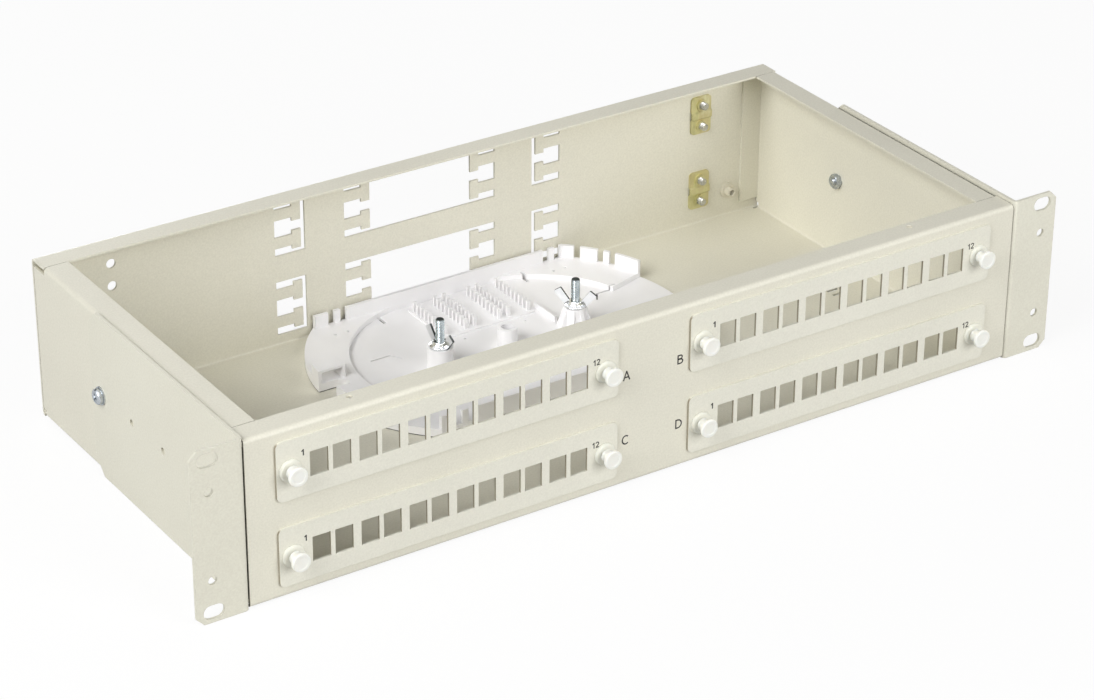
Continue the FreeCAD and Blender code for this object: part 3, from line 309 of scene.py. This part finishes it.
for part in frame["record"]["subparts"]:
    for material_slot in nodes[part["node"]].material_slots:
        material_slot.material = finish[part["material_slot"]]


# Mesh helpers

WELD = 1e-7
SHARP_ANGLE = 35.0


def new_piece(name, mesh, body, replaced=None):
    """Link a mesh as a piece that rides a body, and may stand for a solid, which it hides."""
    piece = bpy.data.objects.new(name, mesh)
    bpy.context.scene.collection.objects.link(piece)
    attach(piece, body)
    if replaced:
        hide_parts(replaced)


def shade_smooth(mesh, sharp):
    """Shade a mesh smooth but for edges sharper than the angle, in degrees."""
    for polygon in mesh.polygons:
        polygon.use_smooth = True
    mesh.set_sharp_from_angle(angle=math.radians(sharp))


def mesh_of(name, vertices, faces, material, sharp=SHARP_ANGLE):
    """Mesh of millimetre points, welded, faced outward and shaded smooth."""
    mesh = bpy.data.meshes.new(name)
    mesh.from_pydata([Vector(vertex) * MM for vertex in vertices], [], faces)
    welded = bmesh.new()
    welded.from_mesh(mesh)
    bmesh.ops.remove_doubles(welded, verts=welded.verts, dist=WELD)
    bmesh.ops.recalc_face_normals(welded, faces=welded.faces)
    welded.to_mesh(mesh)
    welded.free()
    shade_smooth(mesh, sharp)
    mesh.materials.append(material)
    return mesh


class Shell:
    """Millimetre points and faces gathered for one mesh."""

    def __init__(self):
        self.vertices, self.faces = [], []

    def add(self, vertices, faces):
        """Take in one more set of points and faces."""
        first = len(self.vertices)
        self.vertices += vertices
        self.faces += [tuple(first + index for index in face) for face in faces]
        return self

    def mesh(self, name, material):
        """Mesh of all that was added."""
        return mesh_of(name, self.vertices, self.faces, material)


def axis_x(x, y, z, hand):
    """Map of a turned piece (across, up, along) whose axis runs along +X, or -X for hand -1."""
    return lambda across, up, along: (x + hand * along, y + across, z + up)


def axis_y(x, y, z):
    """Map of a turned piece whose axis runs along +Y."""
    return lambda across, up, along: (x + across, y + along, z + up)


def axis_z(x, y, z, angle=0.0):
    """Map of a turned piece whose axis runs along +Z, turned by an angle in degrees."""
    cos, sin = math.cos(math.radians(angle)), math.sin(math.radians(angle))
    return lambda across, up, along: (x + across * cos - up * sin, y + across * sin + up * cos, z + along)


def polar(frame_of, radius, angle, height):
    """Point of a turned piece, put in its place by one of the maps above."""
    return frame_of(radius * math.cos(angle), radius * math.sin(angle), height)


def rounded(points, steps=6):
    """Outline with rounded corners, from points of across, up and a radius that is 0 for a sharp corner."""
    places = [Vector(point[:2]) for point in points]
    out = []
    for index, here in enumerate(places):
        radius = points[index][2]
        if not radius:
            out.append(here)
            continue
        before = (places[index - 1] - here).normalized()
        after = (places[index + 1] - here).normalized()
        half = before.angle(after) / 2
        reach = radius / math.tan(half)
        centre = here + (before + after).normalized() * radius / math.sin(half)
        start, end = here + before * reach - centre, here + after * reach - centre
        sweep = start.angle_signed(end)
        for step in range(steps + 1):
            out.append(centre + start @ Matrix.Rotation(sweep * step / steps, 2))
    return out


def lathe(outline, frame_of, segments=56):
    """Points and faces of an outline of radius and height turned about its axis.

    A radius may be a function of the angle."""
    vertices, faces = [], []
    count = len(outline)
    for segment in range(segments):
        angle = 2 * math.pi * segment / segments
        for radius, height in outline:
            radius = radius(angle) if callable(radius) else radius
            vertices.append(polar(frame_of, radius, angle, height))
    for segment in range(segments):
        near, far = segment * count, (segment + 1) % segments * count
        for index in range(count - 1):
            faces.append((near + index, far + index, far + index + 1, near + index + 1))
    return vertices, faces


def ring_walls(rings, count):
    """Faces between closed rings of count points each, one after the other."""
    faces = []
    for ring in range(rings - 1):
        near, far = ring * count, (ring + 1) * count
        for index in range(count):
            after = (index + 1) % count
            faces.append((near + index, near + after, far + after, far + index))
    return faces


def loft(rings):
    """Points and faces of a closed body through rings of points."""
    count = len(rings[0])
    vertices = [point for ring in rings for point in ring]
    first_cap, last_cap = tuple(range(count)), tuple(range(len(vertices) - count, len(vertices)))
    return vertices, ring_walls(len(rings), count) + [first_cap, last_cap]


def plate_of(outline, thickness, frame_of):
    """Flat plate of a closed outline of across and up points."""
    faces_at = (-thickness / 2, thickness / 2)
    return loft([[frame_of(across, out, up) for across, up in outline[:-1]] for out in faces_at])


def stroke_of(line, width, depth, frame_of):
    """Flat stroke of even width along a line of across and up points."""
    points = [Vector(point) for point in line]
    sides = ([], [])
    for index, point in enumerate(points):
        ahead = points[min(index + 1, len(points) - 1)] - points[max(index - 1, 0)]
        normal = Vector((-ahead.y, ahead.x)).normalized() * width / 2
        sides[0].append(point + normal)
        sides[1].append(point - normal)
    loop = sides[0] + sides[1][::-1]
    count = len(loop)
    vertices = [frame_of(point.x, out, point.y) for out in (-depth / 2, depth / 2) for point in loop]
    faces = ring_walls(2, count)
    for first in (0, count):
        last = first + count - 1
        for index in range(len(points) - 1):
            faces.append((first + index, first + index + 1, last - 1 - index, last - index))
    return vertices, faces


# Points of one thread turn: share of the pitch, and whether on the crest or in the root
THREAD_FORM = ((0.0, False), (0.12, False), (0.44, True), (0.62, True))
THREAD_SEGMENTS = 28


def threaded(radius, depth, pitch, start, end, chamfer, frame_of):
    """Shank with a helical thread and chamfered ends."""
    count = len(THREAD_FORM)
    rows = count * (math.ceil((end - start) / pitch) + 2)
    angles = [2 * math.pi * column / THREAD_SEGMENTS for column in range(THREAD_SEGMENTS)]
    vertices, faces = [], []
    for column, angle in enumerate(angles):
        for row in range(rows):
            offset, crest = THREAD_FORM[row % count]
            height = start + pitch * (row // count - 1 + offset + column / THREAD_SEGMENTS)
            height = min(max(height, start), end)
            lead_in = max(0.0, height - end + chamfer, start + chamfer - height)
            reach = min(radius if crest else radius - depth, radius - lead_in)
            vertices.append(polar(frame_of, reach, angle, height))
    for column in range(THREAD_SEGMENTS):
        last = column == THREAD_SEGMENTS - 1
        near, far = column * rows, 0 if last else (column + 1) * rows
        shift = count if last else 0
        for row in range(rows - 1 - shift):
            faces.append((near + row, far + row + shift, far + row + shift + 1, near + row + 1))
    for height in (start, end):
        first = len(vertices)
        vertices += [polar(frame_of, radius - chamfer, angle, height) for angle in angles]
        faces.append(tuple(range(first, first + THREAD_SEGMENTS)))
    return vertices, faces


def cut_by(base, tool):
    """Mesh of one closed mesh cut by another."""
    holder, cutter = bpy.data.objects.new("base", base), bpy.data.objects.new("tool", tool)
    for item in (holder, cutter):
        bpy.context.scene.collection.objects.link(item)
    cut = holder.modifiers.new("cut", "BOOLEAN")
    cut.operation = "DIFFERENCE"
    cut.object = cutter
    cut.solver = "EXACT"
    made = bpy.data.meshes.new_from_object(holder.evaluated_get(bpy.context.evaluated_depsgraph_get()))
    for item in (holder, cutter):
        bpy.data.objects.remove(item)
    return made


def joined(name, *meshes):
    """One mesh of several that share their material."""
    whole = bmesh.new()
    for mesh in meshes:
        whole.from_mesh(mesh)
    made = bpy.data.meshes.new(name)
    whole.to_mesh(made)
    whole.free()
    made.materials.append(meshes[0].materials[0])
    return made


# Plate latches, with outlines of radius, height behind the plate's front and rounding

PLATE_FRONT = -2.05
SLEEVE_BORE, SLEEVE_BARREL, SLEEVE_FLANGE = 2.0, 3.15, 5.65
FLANGE_FRONT, LEG_START, LEG_TIP = -1.5, 2.4, 7.0
SLEEVE_RING = rounded([
    (SLEEVE_BORE, LEG_START, 0), (SLEEVE_BORE, FLANGE_FRONT, 0.3), (SLEEVE_FLANGE, FLANGE_FRONT, 1.3),
    (SLEEVE_FLANGE, 0.0, 0.15), (SLEEVE_BARREL, 0.0, 0), (SLEEVE_BARREL, LEG_START, 0),
    (SLEEVE_BORE, LEG_START, 0),
])
SLEEVE_LEG = [
    (SLEEVE_BORE, LEG_START), (SLEEVE_BARREL, LEG_START), (SLEEVE_BARREL, 2.6), (3.7, 2.6), (3.8, 2.75),
    (2.8, 6.8), (2.6, LEG_TIP), (2.1, LEG_TIP), (SLEEVE_BORE, 6.9),
]
SLEEVE_SLIT = 1.0
LEG_STEPS = 8
PIN, NECK, CAP = 1.7, 2.7, 4.65
PIN_TIP, SHOULDER, CAP_BACK, CAP_FRONT, CAP_DISH = 6.6, -1.65, -6.1, -7.85, -7.7
PLUNGER = rounded([
    (0.0, PIN_TIP, 0), (PIN, PIN_TIP, 0.5), (PIN, SHOULDER, 0), (3.3, SHOULDER, 0.2), (NECK, -2.5, 0.4),
    (NECK, -5.7, 0.5), (CAP, CAP_BACK, 0.4), (CAP, CAP_FRONT, 0.55), (3.1, CAP_FRONT, 0.15),
    (2.9, CAP_DISH, 0.15), (0.0, CAP_DISH, 0),
])


def sleeve_leg(quarter, frame_of):
    """One of four legs between the slits, closed on all sides."""
    rings = []
    for step in range(LEG_STEPS + 1):
        ring = []
        for radius, height in SLEEVE_LEG:
            edge = math.asin(SLEEVE_SLIT / 2 / radius)
            angle = quarter * math.pi / 2 + edge + (math.pi / 2 - 2 * edge) * step / LEG_STEPS
            ring.append(polar(frame_of, radius, angle, height))
        rings.append(ring)
    return loft(rings)


for plate in PLATES:
    for latch in ("1", "2"):
        name = plate + latch
        centre = middle(f"latch_sleeve_{name}")
        frame_of = axis_y(centre.x, PLATE_FRONT, centre.z)
        sleeve = Shell().add(*lathe(SLEEVE_RING, frame_of))
        for quarter in range(4):
            sleeve.add(*sleeve_leg(quarter, frame_of))
        mesh = sleeve.mesh(f"moulded_sleeve_{name}", finish["sleeve_nylon"])
        new_piece(f"moulded_sleeve_{name}", mesh, "chassis", f"latch_sleeve_{name}")
        mesh = mesh_of(f"moulded_plunger_{name}", *lathe(PLUNGER, frame_of), finish["plunger_nylon"])
        new_piece(f"moulded_plunger_{name}", mesh, f"plunger_{name}",
                  f"latch_plunger_{name}")


# Studs and wing nuts

STUD_FOOT, COLLAR_TOP, STUD_TOP = -42.0, -41.5, -13.0
STUD_RADIUS, STUD_COLLAR, STUD_CHAMFER = 2.28, 3.5, 0.5
STUD_THREAD, STUD_PITCH = 0.3, 0.8
COLLAR = [(0.0, STUD_FOOT), (STUD_COLLAR, STUD_FOOT), (STUD_COLLAR, COLLAR_TOP), (0.0, COLLAR_TOP)]
NUT_SEAT = -28.1
NUT_TURN = {"left": -85.0, "right": -50.0}
NUT_BORE, NUT_FLANGE, NUT_RISE = 2.34, 5.6, 3.0
NUT_BASE = rounded([
    (NUT_BORE, 0.0, 0), (NUT_FLANGE, 0.0, 0.25), (NUT_FLANGE, 0.8, 0.4), (4.3, 1.35, 0.8),
    (3.5, NUT_RISE, 0.35), (NUT_BORE, NUT_RISE, 0), (NUT_BORE, 0.0, 0),
])
WING_ROOT, WING_FOOT = 3.0, 0.4
WING = rounded([
    (WING_ROOT, WING_FOOT, 0), (WING_ROOT, 2.7, 0), (7.8, 9.3, 0.5), (11.3, 6.8, 0.5), (6.0, WING_FOOT, 0.8),
    (WING_ROOT, WING_FOOT, 0),
], steps=4)
WING_SHEET = 1.2
# Where the bare sheared edges of a wing begin
EDGE_FROM_AXIS, EDGE_FROM_SEAT = 4.4, 1.5


def refinish(mesh, material, chosen):
    """Give the faces whose middle, in millimetres, is chosen a finish of their own."""
    mesh.materials.append(material)
    for polygon in mesh.polygons:
        if chosen(polygon.center / MM):
            polygon.material_index = len(mesh.materials) - 1


def is_stud_end(place):
    """Test for the middles of faces at a stud's sheared end."""
    return place.z > STUD_TOP - STUD_CHAMFER / 2


def is_wing_edge(centre, turn):
    """Test for the middles of the sheared edges of a nut's wings."""
    out = Vector((-math.sin(math.radians(turn)), math.cos(math.radians(turn)), 0.0))

    def test(place):
        away = place - centre
        between_faces = abs(away.dot(out)) < WING_SHEET / 4
        return between_faces and away.xy.length > EDGE_FROM_AXIS and place.z > NUT_SEAT + EDGE_FROM_SEAT
    return test


for side in SIDES:
    centre = middle(f"{side}_cassette_stud")
    frame_of = axis_z(centre.x, centre.y, 0.0)
    stud = Shell().add(*lathe(COLLAR, frame_of))
    stud.add(*threaded(STUD_RADIUS, STUD_THREAD, STUD_PITCH, COLLAR_TOP, STUD_TOP, STUD_CHAMFER, frame_of))
    mesh = stud.mesh(f"threaded_{side}_stud", finish["stud_zinc"])
    # The stud's flat end takes the dark steel: bare steel and painted dark reflection
    refinish(mesh, sheared, is_stud_end)
    new_piece(f"threaded_{side}_stud", mesh, "chassis", f"{side}_cassette_stud")
    turn = NUT_TURN[side]
    nut = Shell().add(*lathe(NUT_BASE, axis_z(centre.x, centre.y, NUT_SEAT, turn)))
    for half_turn in (0.0, 180.0):
        nut.add(*plate_of(WING, WING_SHEET, axis_z(centre.x, centre.y, NUT_SEAT, turn + half_turn)))
    mesh = nut.mesh(f"stamped_{side}_wing_nut", finish["wing_nut_zinc"])
    refinish(mesh, sheared, is_wing_edge(centre, turn))
    new_piece(f"stamped_{side}_wing_nut", mesh, f"{side}_nut", f"{side}_wing_nut")


# Screws and nuts

HEAD_RADIUS, HEAD_RISE, HEAD_ROUND, HEAD_CROWN = 4.0, 2.6, 1.56, 0.02
PAN_HEAD = rounded([
    (0.0, 0.0, 0), (HEAD_RADIUS, 0.0, 0.2), (HEAD_RADIUS, HEAD_RISE, HEAD_ROUND),
    (0.0, HEAD_RISE + HEAD_CROWN, 0),
], steps=7)
# Driver recess: height over the head, reach of the arms and half their width, level by level
RECESS = ((0.4, 2.226, 0.5957), (0.0, 2.1, 0.575), (-1.275, 1.302, 0.4439), (-1.7, 0.42, 0.299))
SCREW_RADIUS, SCREW_THREAD, SCREW_PITCH, SCREW_CHAMFER = 2.0, 0.32, 0.7, 0.4
SHANK_OVERLAP = 0.05
HEX_FLATS, HEX_RISE, HEX_BORE = 7.0, 3.2, 2.03
# Levels of the nut's outline as shares of its rise, and growth of the chamfer's radius with height
HEX_LEVELS = (0.0, 0.06, 0.13, 0.22, 0.78, 0.87, 0.94, 1.0)
HEX_SLOPE = 1.7
HEX_SEGMENTS, HEX_SHARP = 72, 25.0


def cross_recess(frame_of):
    """Closed tapered cross that a driver recess is cut with."""
    rings = []
    for over, far, half in RECESS:
        cross = [
            (far, -half), (far, half), (half, half), (half, far), (-half, far), (-half, half),
            (-far, half), (-far, -half), (-half, -half), (-half, -far), (half, -far), (half, -half),
        ]
        rings.append([frame_of(across, up, HEAD_RISE + over) for across, up in cross])
    return loft(rings)


def pan_screw(name, frame_of, length, material):
    """Pan-head screw: seat at 0, head outward, threaded shank behind."""
    pan = mesh_of(name, *lathe(PAN_HEAD, frame_of), material)
    recess = mesh_of(name, *cross_recess(frame_of), material)
    thread = threaded(SCREW_RADIUS, SCREW_THREAD, SCREW_PITCH, -length, SHANK_OVERLAP, SCREW_CHAMFER,
                      frame_of)
    whole = joined(name, cut_by(pan, recess), mesh_of(name, *thread, material))
    shade_smooth(whole, SHARP_ANGLE)
    return whole


def hexagon(corner, angle):
    """Radius of a hexagon at an angle, its corners cut to a radius."""
    return min(HEX_FLATS / 2 / math.cos(angle % (math.pi / 3) - math.pi / 6), corner)


def hex_nut(name, frame_of, material):
    """Hexagon nut with both ends chamfered."""
    outline = [(HEX_BORE, 0.0)]
    for share in HEX_LEVELS:
        level = HEX_RISE * share
        corner = HEX_FLATS / 2 + HEX_SLOPE * min(level, HEX_RISE - level)
        outline.append((partial(hexagon, corner), level))
    outline += [(HEX_BORE, HEX_RISE), (HEX_BORE, 0.0)]
    return mesh_of(name, *lathe(outline, frame_of, HEX_SEGMENTS), material, HEX_SHARP)


# Bracket screws lie along X: y and z of their line, x of the seats of head and nut, length of the shank
SCREW_LINE = (135.6, 1.0)
BRACKET_SEAT, BRACKET_NUT_SEAT, BRACKET_SHANK = 217.0, 213.2, 8.2
# Clamp screws lie along Y: y of the head's seat, length of the shank
CLAMP_SEAT, CLAMP_SHANK = 207.15, 6.6

for side, hand in SIDES.items():
    frame_of = axis_x(hand * BRACKET_SEAT, *SCREW_LINE, hand)
    mesh = pan_screw(f"{side}_pan_screw", frame_of, BRACKET_SHANK, finish["zinc"])
    new_piece(f"{side}_pan_screw", mesh, "chassis", f"{side}_bracket_screw")
    frame_of = axis_x(hand * BRACKET_NUT_SEAT, *SCREW_LINE, -hand)
    mesh = hex_nut(f"{side}_hex_nut", frame_of, finish["zinc"])
    new_piece(f"{side}_hex_nut", mesh, "chassis", f"{side}_bracket_nut")

for count in range(1, 5):
    centre = middle(f"clamp_screw_{count}")
    frame_of = axis_y(centre.x, CLAMP_SEAT, centre.z)
    mesh = pan_screw(f"pan_clamp_screw_{count}", frame_of, CLAMP_SHANK, finish["clamp_screw_zinc"])
    new_piece(f"pan_clamp_screw_{count}", mesh, "chassis", f"clamp_screw_{count}")


# Printed numbers and letters


def arc(x, z, radius_x, radius_z, start, end, steps=12):
    """Points along part of an ellipse, angles in degrees."""
    turns = [math.radians(start + (end - start) * step / steps) for step in range(steps + 1)]
    return [(x + radius_x * math.cos(turn), z + radius_z * math.sin(turn)) for turn in turns]


# Strokes of the printed characters, for a height of 1
GLYPHS = {
    "1": [[(0.3, 0.0), (0.3, 1.0)], [(0.34, 0.96), (0.02, 0.68)]],
    "2": [arc(0.27, 0.71, 0.25, 0.24, 170, -38) + [(0.04, 0.07)], [(0.0, 0.08), (0.58, 0.08)]],
    "A": [[(0.0, 0.0), (0.36, 1.0)], [(0.34, 1.0), (0.7, 0.0)], [(0.14, 0.33), (0.56, 0.33)]],
    "B": [[(0.07, 0.0), (0.07, 1.0)],
          [(0.05, 0.93)] + arc(0.34, 0.74, 0.2, 0.19, 90, -90) + [(0.05, 0.55)],
          [(0.05, 0.52)] + arc(0.36, 0.295, 0.25, 0.225, 90, -90) + [(0.05, 0.07)]],
    "C": [arc(0.43, 0.5, 0.38, 0.44, 48, 312, steps=20)],
    "D": [[(0.07, 0.0), (0.07, 1.0)],
          [(0.05, 0.93)] + arc(0.28, 0.5, 0.42, 0.43, 90, -90, steps=16) + [(0.05, 0.07)]],
}
GLYPH_STEP = 0.62
PRINT_DEPTH = 0.03
WALL_FRONT = -0.85
# Window numbers: characters, place from the plate's middle, height and stroke; letters: x and z
NUMBERS = {"first": ("1", -76.4, 6.9, 3.4, 0.62), "last": ("12", 77.6, 6.1, 3.3, 0.52)}
LETTERS = {"A": (-14.85, 14.6), "B": (15.4, 14.35), "C": (-15.1, -19.45), "D": (15.3, -20.05)}
LETTER_HEIGHT, LETTER_STROKE = 5.3, 0.72


def printed(name, characters, x, y, z, height, stroke):
    """Thin print on the front, its middle at the given place."""
    lines = [[(across + GLYPH_STEP * index, up) for across, up in line]
             for index, character in enumerate(characters) for line in GLYPHS[character]]
    spread = [across for line in lines for across, up in line]
    centre = (max(spread) + min(spread)) / 2
    tall = height - stroke / 2

    def on_front(across, out, up):
        return x + across, y + out, z + up

    label = Shell()
    for line in lines:
        flat = [((across - centre) * tall, (up - 0.5) * tall) for across, up in line]
        label.add(*stroke_of(flat, stroke, PRINT_DEPTH, on_front))
    new_piece(name, label.mesh(name, ink), "chassis")


for plate in PLATES:
    centre = middle(f"adapter_plate_{plate}")
    for which, (characters, across, up, height, stroke) in NUMBERS.items():
        x, z = centre.x + across, centre.z + up
        printed(f"print_{which}_{plate}", characters, x, PLATE_FRONT, z, height, stroke)
for letter, (x, z) in LETTERS.items():
    printed(f"print_letter_{letter}", letter, x, WALL_FRONT, z, LETTER_HEIGHT, LETTER_STROKE)


# Camera, solved on the rack ears' holes in the photograph

PHOTO_WIDTH = 1094
FOCAL_PIXELS = 3389.07
SENSOR = 36.0
CAMERA_PLACE = Vector((-799.173, -1124.643, 763.204)) * MM
CAMERA_RIGHT = (0.83636072, -0.54816207, 0.00436988)
CAMERA_UP = (0.25605453, 0.39770006, 0.88106228)
CAMERA_BACK = (-0.48470282, -0.73576695, 0.47298009)
camera_data = bpy.data.cameras.new("camera")
camera_data.sensor_fit = "HORIZONTAL"
camera_data.sensor_width = SENSOR
camera_data.lens = FOCAL_PIXELS * SENSOR / PHOTO_WIDTH
camera_data.clip_end = 50.0
camera = bpy.data.objects.new("camera", camera_data)
bpy.context.scene.collection.objects.link(camera)
camera_turn = Matrix((CAMERA_RIGHT, CAMERA_UP, CAMERA_BACK)).transposed().to_4x4()
camera.matrix_world = Matrix.Translation(CAMERA_PLACE) @ camera_turn
bpy.context.scene.camera = camera


# Studio: white floor and surround, a large soft key at the left, a smaller one in front, low fills

WHITE = (1.0, 1.0, 1.0, 1.0)
AMBIENT = 0.06
FLOOR_Z = -43.55
FLOOR_REACH = 6.0
FLOOR_LIT, FLOOR_SEEN, FLOOR_GLOW = (0.5, 0.5, 0.49, 1.0), (0.94, 0.94, 0.93, 1.0), 0.9
CARD_BLACK = (0.02, 0.02, 0.02, 1.0)
CARD_LEFT, CARD_RIGHT, CARD_Y, CARD_LOW, CARD_HIGH = -2.5, 5.0, 3.0, 0.5, 3.2
CARD_HIDDEN_FROM = ("camera", "diffuse", "transmission", "volume_scatter", "shadow")
PANEL_MIDDLE = (0.0, 0.1, 0.0)


def studio_node(tree, kind, **values):
    """New node with some of its inputs given."""
    made = tree.nodes.new(kind)
    for key, value in values.items():
        made.inputs[key].default_value = value
    return made


def lit_and_seen(tree, lit, seen, output):
    """Surface that lights the panel in one way, and that the camera, mirrors and glass see in another."""
    path = tree.nodes.new("ShaderNodeLightPath")
    looked_at = path.outputs["Is Camera Ray"]
    for name in ("Is Glossy Ray", "Is Transmission Ray"):
        either = tree.nodes.new("ShaderNodeMath")
        either.operation = "MAXIMUM"
        tree.links.new(looked_at, either.inputs[0])
        tree.links.new(path.outputs[name], either.inputs[1])
        looked_at = either.outputs["Value"]
    mix = tree.nodes.new("ShaderNodeMixShader")
    tree.links.new(looked_at, mix.inputs["Fac"])
    tree.links.new(lit, mix.inputs[1])
    tree.links.new(seen, mix.inputs[2])
    tree.links.new(mix.outputs["Shader"], output.inputs["Surface"])


def studio_world():
    """Plain white surround that gives little light."""
    world = bpy.data.worlds.new("studio")
    world.use_nodes = True
    tree = world.node_tree
    tree.nodes.clear()
    ambient = studio_node(tree, "ShaderNodeBackground", Color=WHITE, Strength=AMBIENT)
    white = studio_node(tree, "ShaderNodeBackground", Color=WHITE, Strength=1.0)
    output = tree.nodes.new("ShaderNodeOutputWorld")
    lit_and_seen(tree, ambient.outputs["Background"], white.outputs["Background"], output)
    return world


def floor_finish():
    """Grey to the light, nearly white and faintly shaded to the eye."""
    material = bpy.data.materials.new("studio_floor")
    material.use_nodes = True
    tree = material.node_tree
    tree.nodes.clear()
    bounce = studio_node(tree, "ShaderNodeBsdfDiffuse", Color=FLOOR_LIT)
    shaded = studio_node(tree, "ShaderNodeBsdfDiffuse", Color=FLOOR_SEEN)
    glow = studio_node(tree, "ShaderNodeEmission", Strength=1.0)
    lifted = studio_node(tree, "ShaderNodeMixShader", Fac=FLOOR_GLOW)
    tree.links.new(shaded.outputs["BSDF"], lifted.inputs[1])
    tree.links.new(glow.outputs["Emission"], lifted.inputs[2])
    output = tree.nodes.new("ShaderNodeOutputMaterial")
    lit_and_seen(tree, bounce.outputs["BSDF"], lifted.outputs["Shader"], output)
    return material


def card_finish():
    """Near black."""
    material = bpy.data.materials.new("studio_card")
    material.use_nodes = True
    material.node_tree.nodes["Principled BSDF"].inputs["Base Color"].default_value = CARD_BLACK
    return material


def stage_plane(name, corners, material):
    """Flat piece of the studio with four corners."""
    mesh = bpy.data.meshes.new(name)
    mesh.from_pydata(corners, [], [(0, 1, 2, 3)])
    mesh.materials.append(material)
    plane = bpy.data.objects.new(name, mesh)
    bpy.context.scene.collection.objects.link(plane)
    return plane


def area_light(name, place, target, size, power, spread=180.0):
    """Round lamp at a place that shines towards a target, its spread in degrees."""
    data = bpy.data.lights.new(name, "AREA")
    data.shape = "DISK"
    data.size = size
    data.energy = power
    data.spread = math.radians(spread)
    lamp = bpy.data.objects.new(name, data)
    lamp.location = place
    lamp.rotation_euler = (Vector(target) - Vector(place)).to_track_quat("-Z", "Y").to_euler()
    bpy.context.scene.collection.objects.link(lamp)


bpy.context.scene.world = studio_world()
floor = stage_plane("studio_floor", [
    (-FLOOR_REACH, -FLOOR_REACH, 0.0), (FLOOR_REACH, -FLOOR_REACH, 0.0),
    (FLOOR_REACH, FLOOR_REACH, 0.0), (-FLOOR_REACH, FLOOR_REACH, 0.0),
], floor_finish())
floor.location.z = FLOOR_Z * MM

# Dark card behind the panel, seen in reflections only
card = stage_plane("studio_card", [
    (CARD_LEFT, CARD_Y, CARD_LOW), (CARD_RIGHT, CARD_Y, CARD_LOW),
    (CARD_RIGHT, CARD_Y, CARD_HIGH), (CARD_LEFT, CARD_Y, CARD_HIGH),
], card_finish())
for use in CARD_HIDDEN_FROM:
    setattr(card, f"visible_{use}", False)

area_light("left_key", place=(-1.65, -0.3, 1.3), target=PANEL_MIDDLE, size=1.7, power=42.0)
area_light("front_key", place=(0.55, -2.0, 0.85), target=PANEL_MIDDLE, size=1.5, power=34.0)
area_light("overhead", place=(0.05, 0.135, 0.8), target=(0.04, 0.135, 0.0), size=0.1, power=0.0075,
           spread=15.0)
area_light("back_fill", place=(0.25, 2.2, 0.2), target=PANEL_MIDDLE, size=1.0, power=26.0)
area_light("right_fill", place=(2.2, 0.3, 0.2), target=PANEL_MIDDLE, size=1.0, power=18.0)
bpy.context.scene.view_settings.view_transform = "Standard"
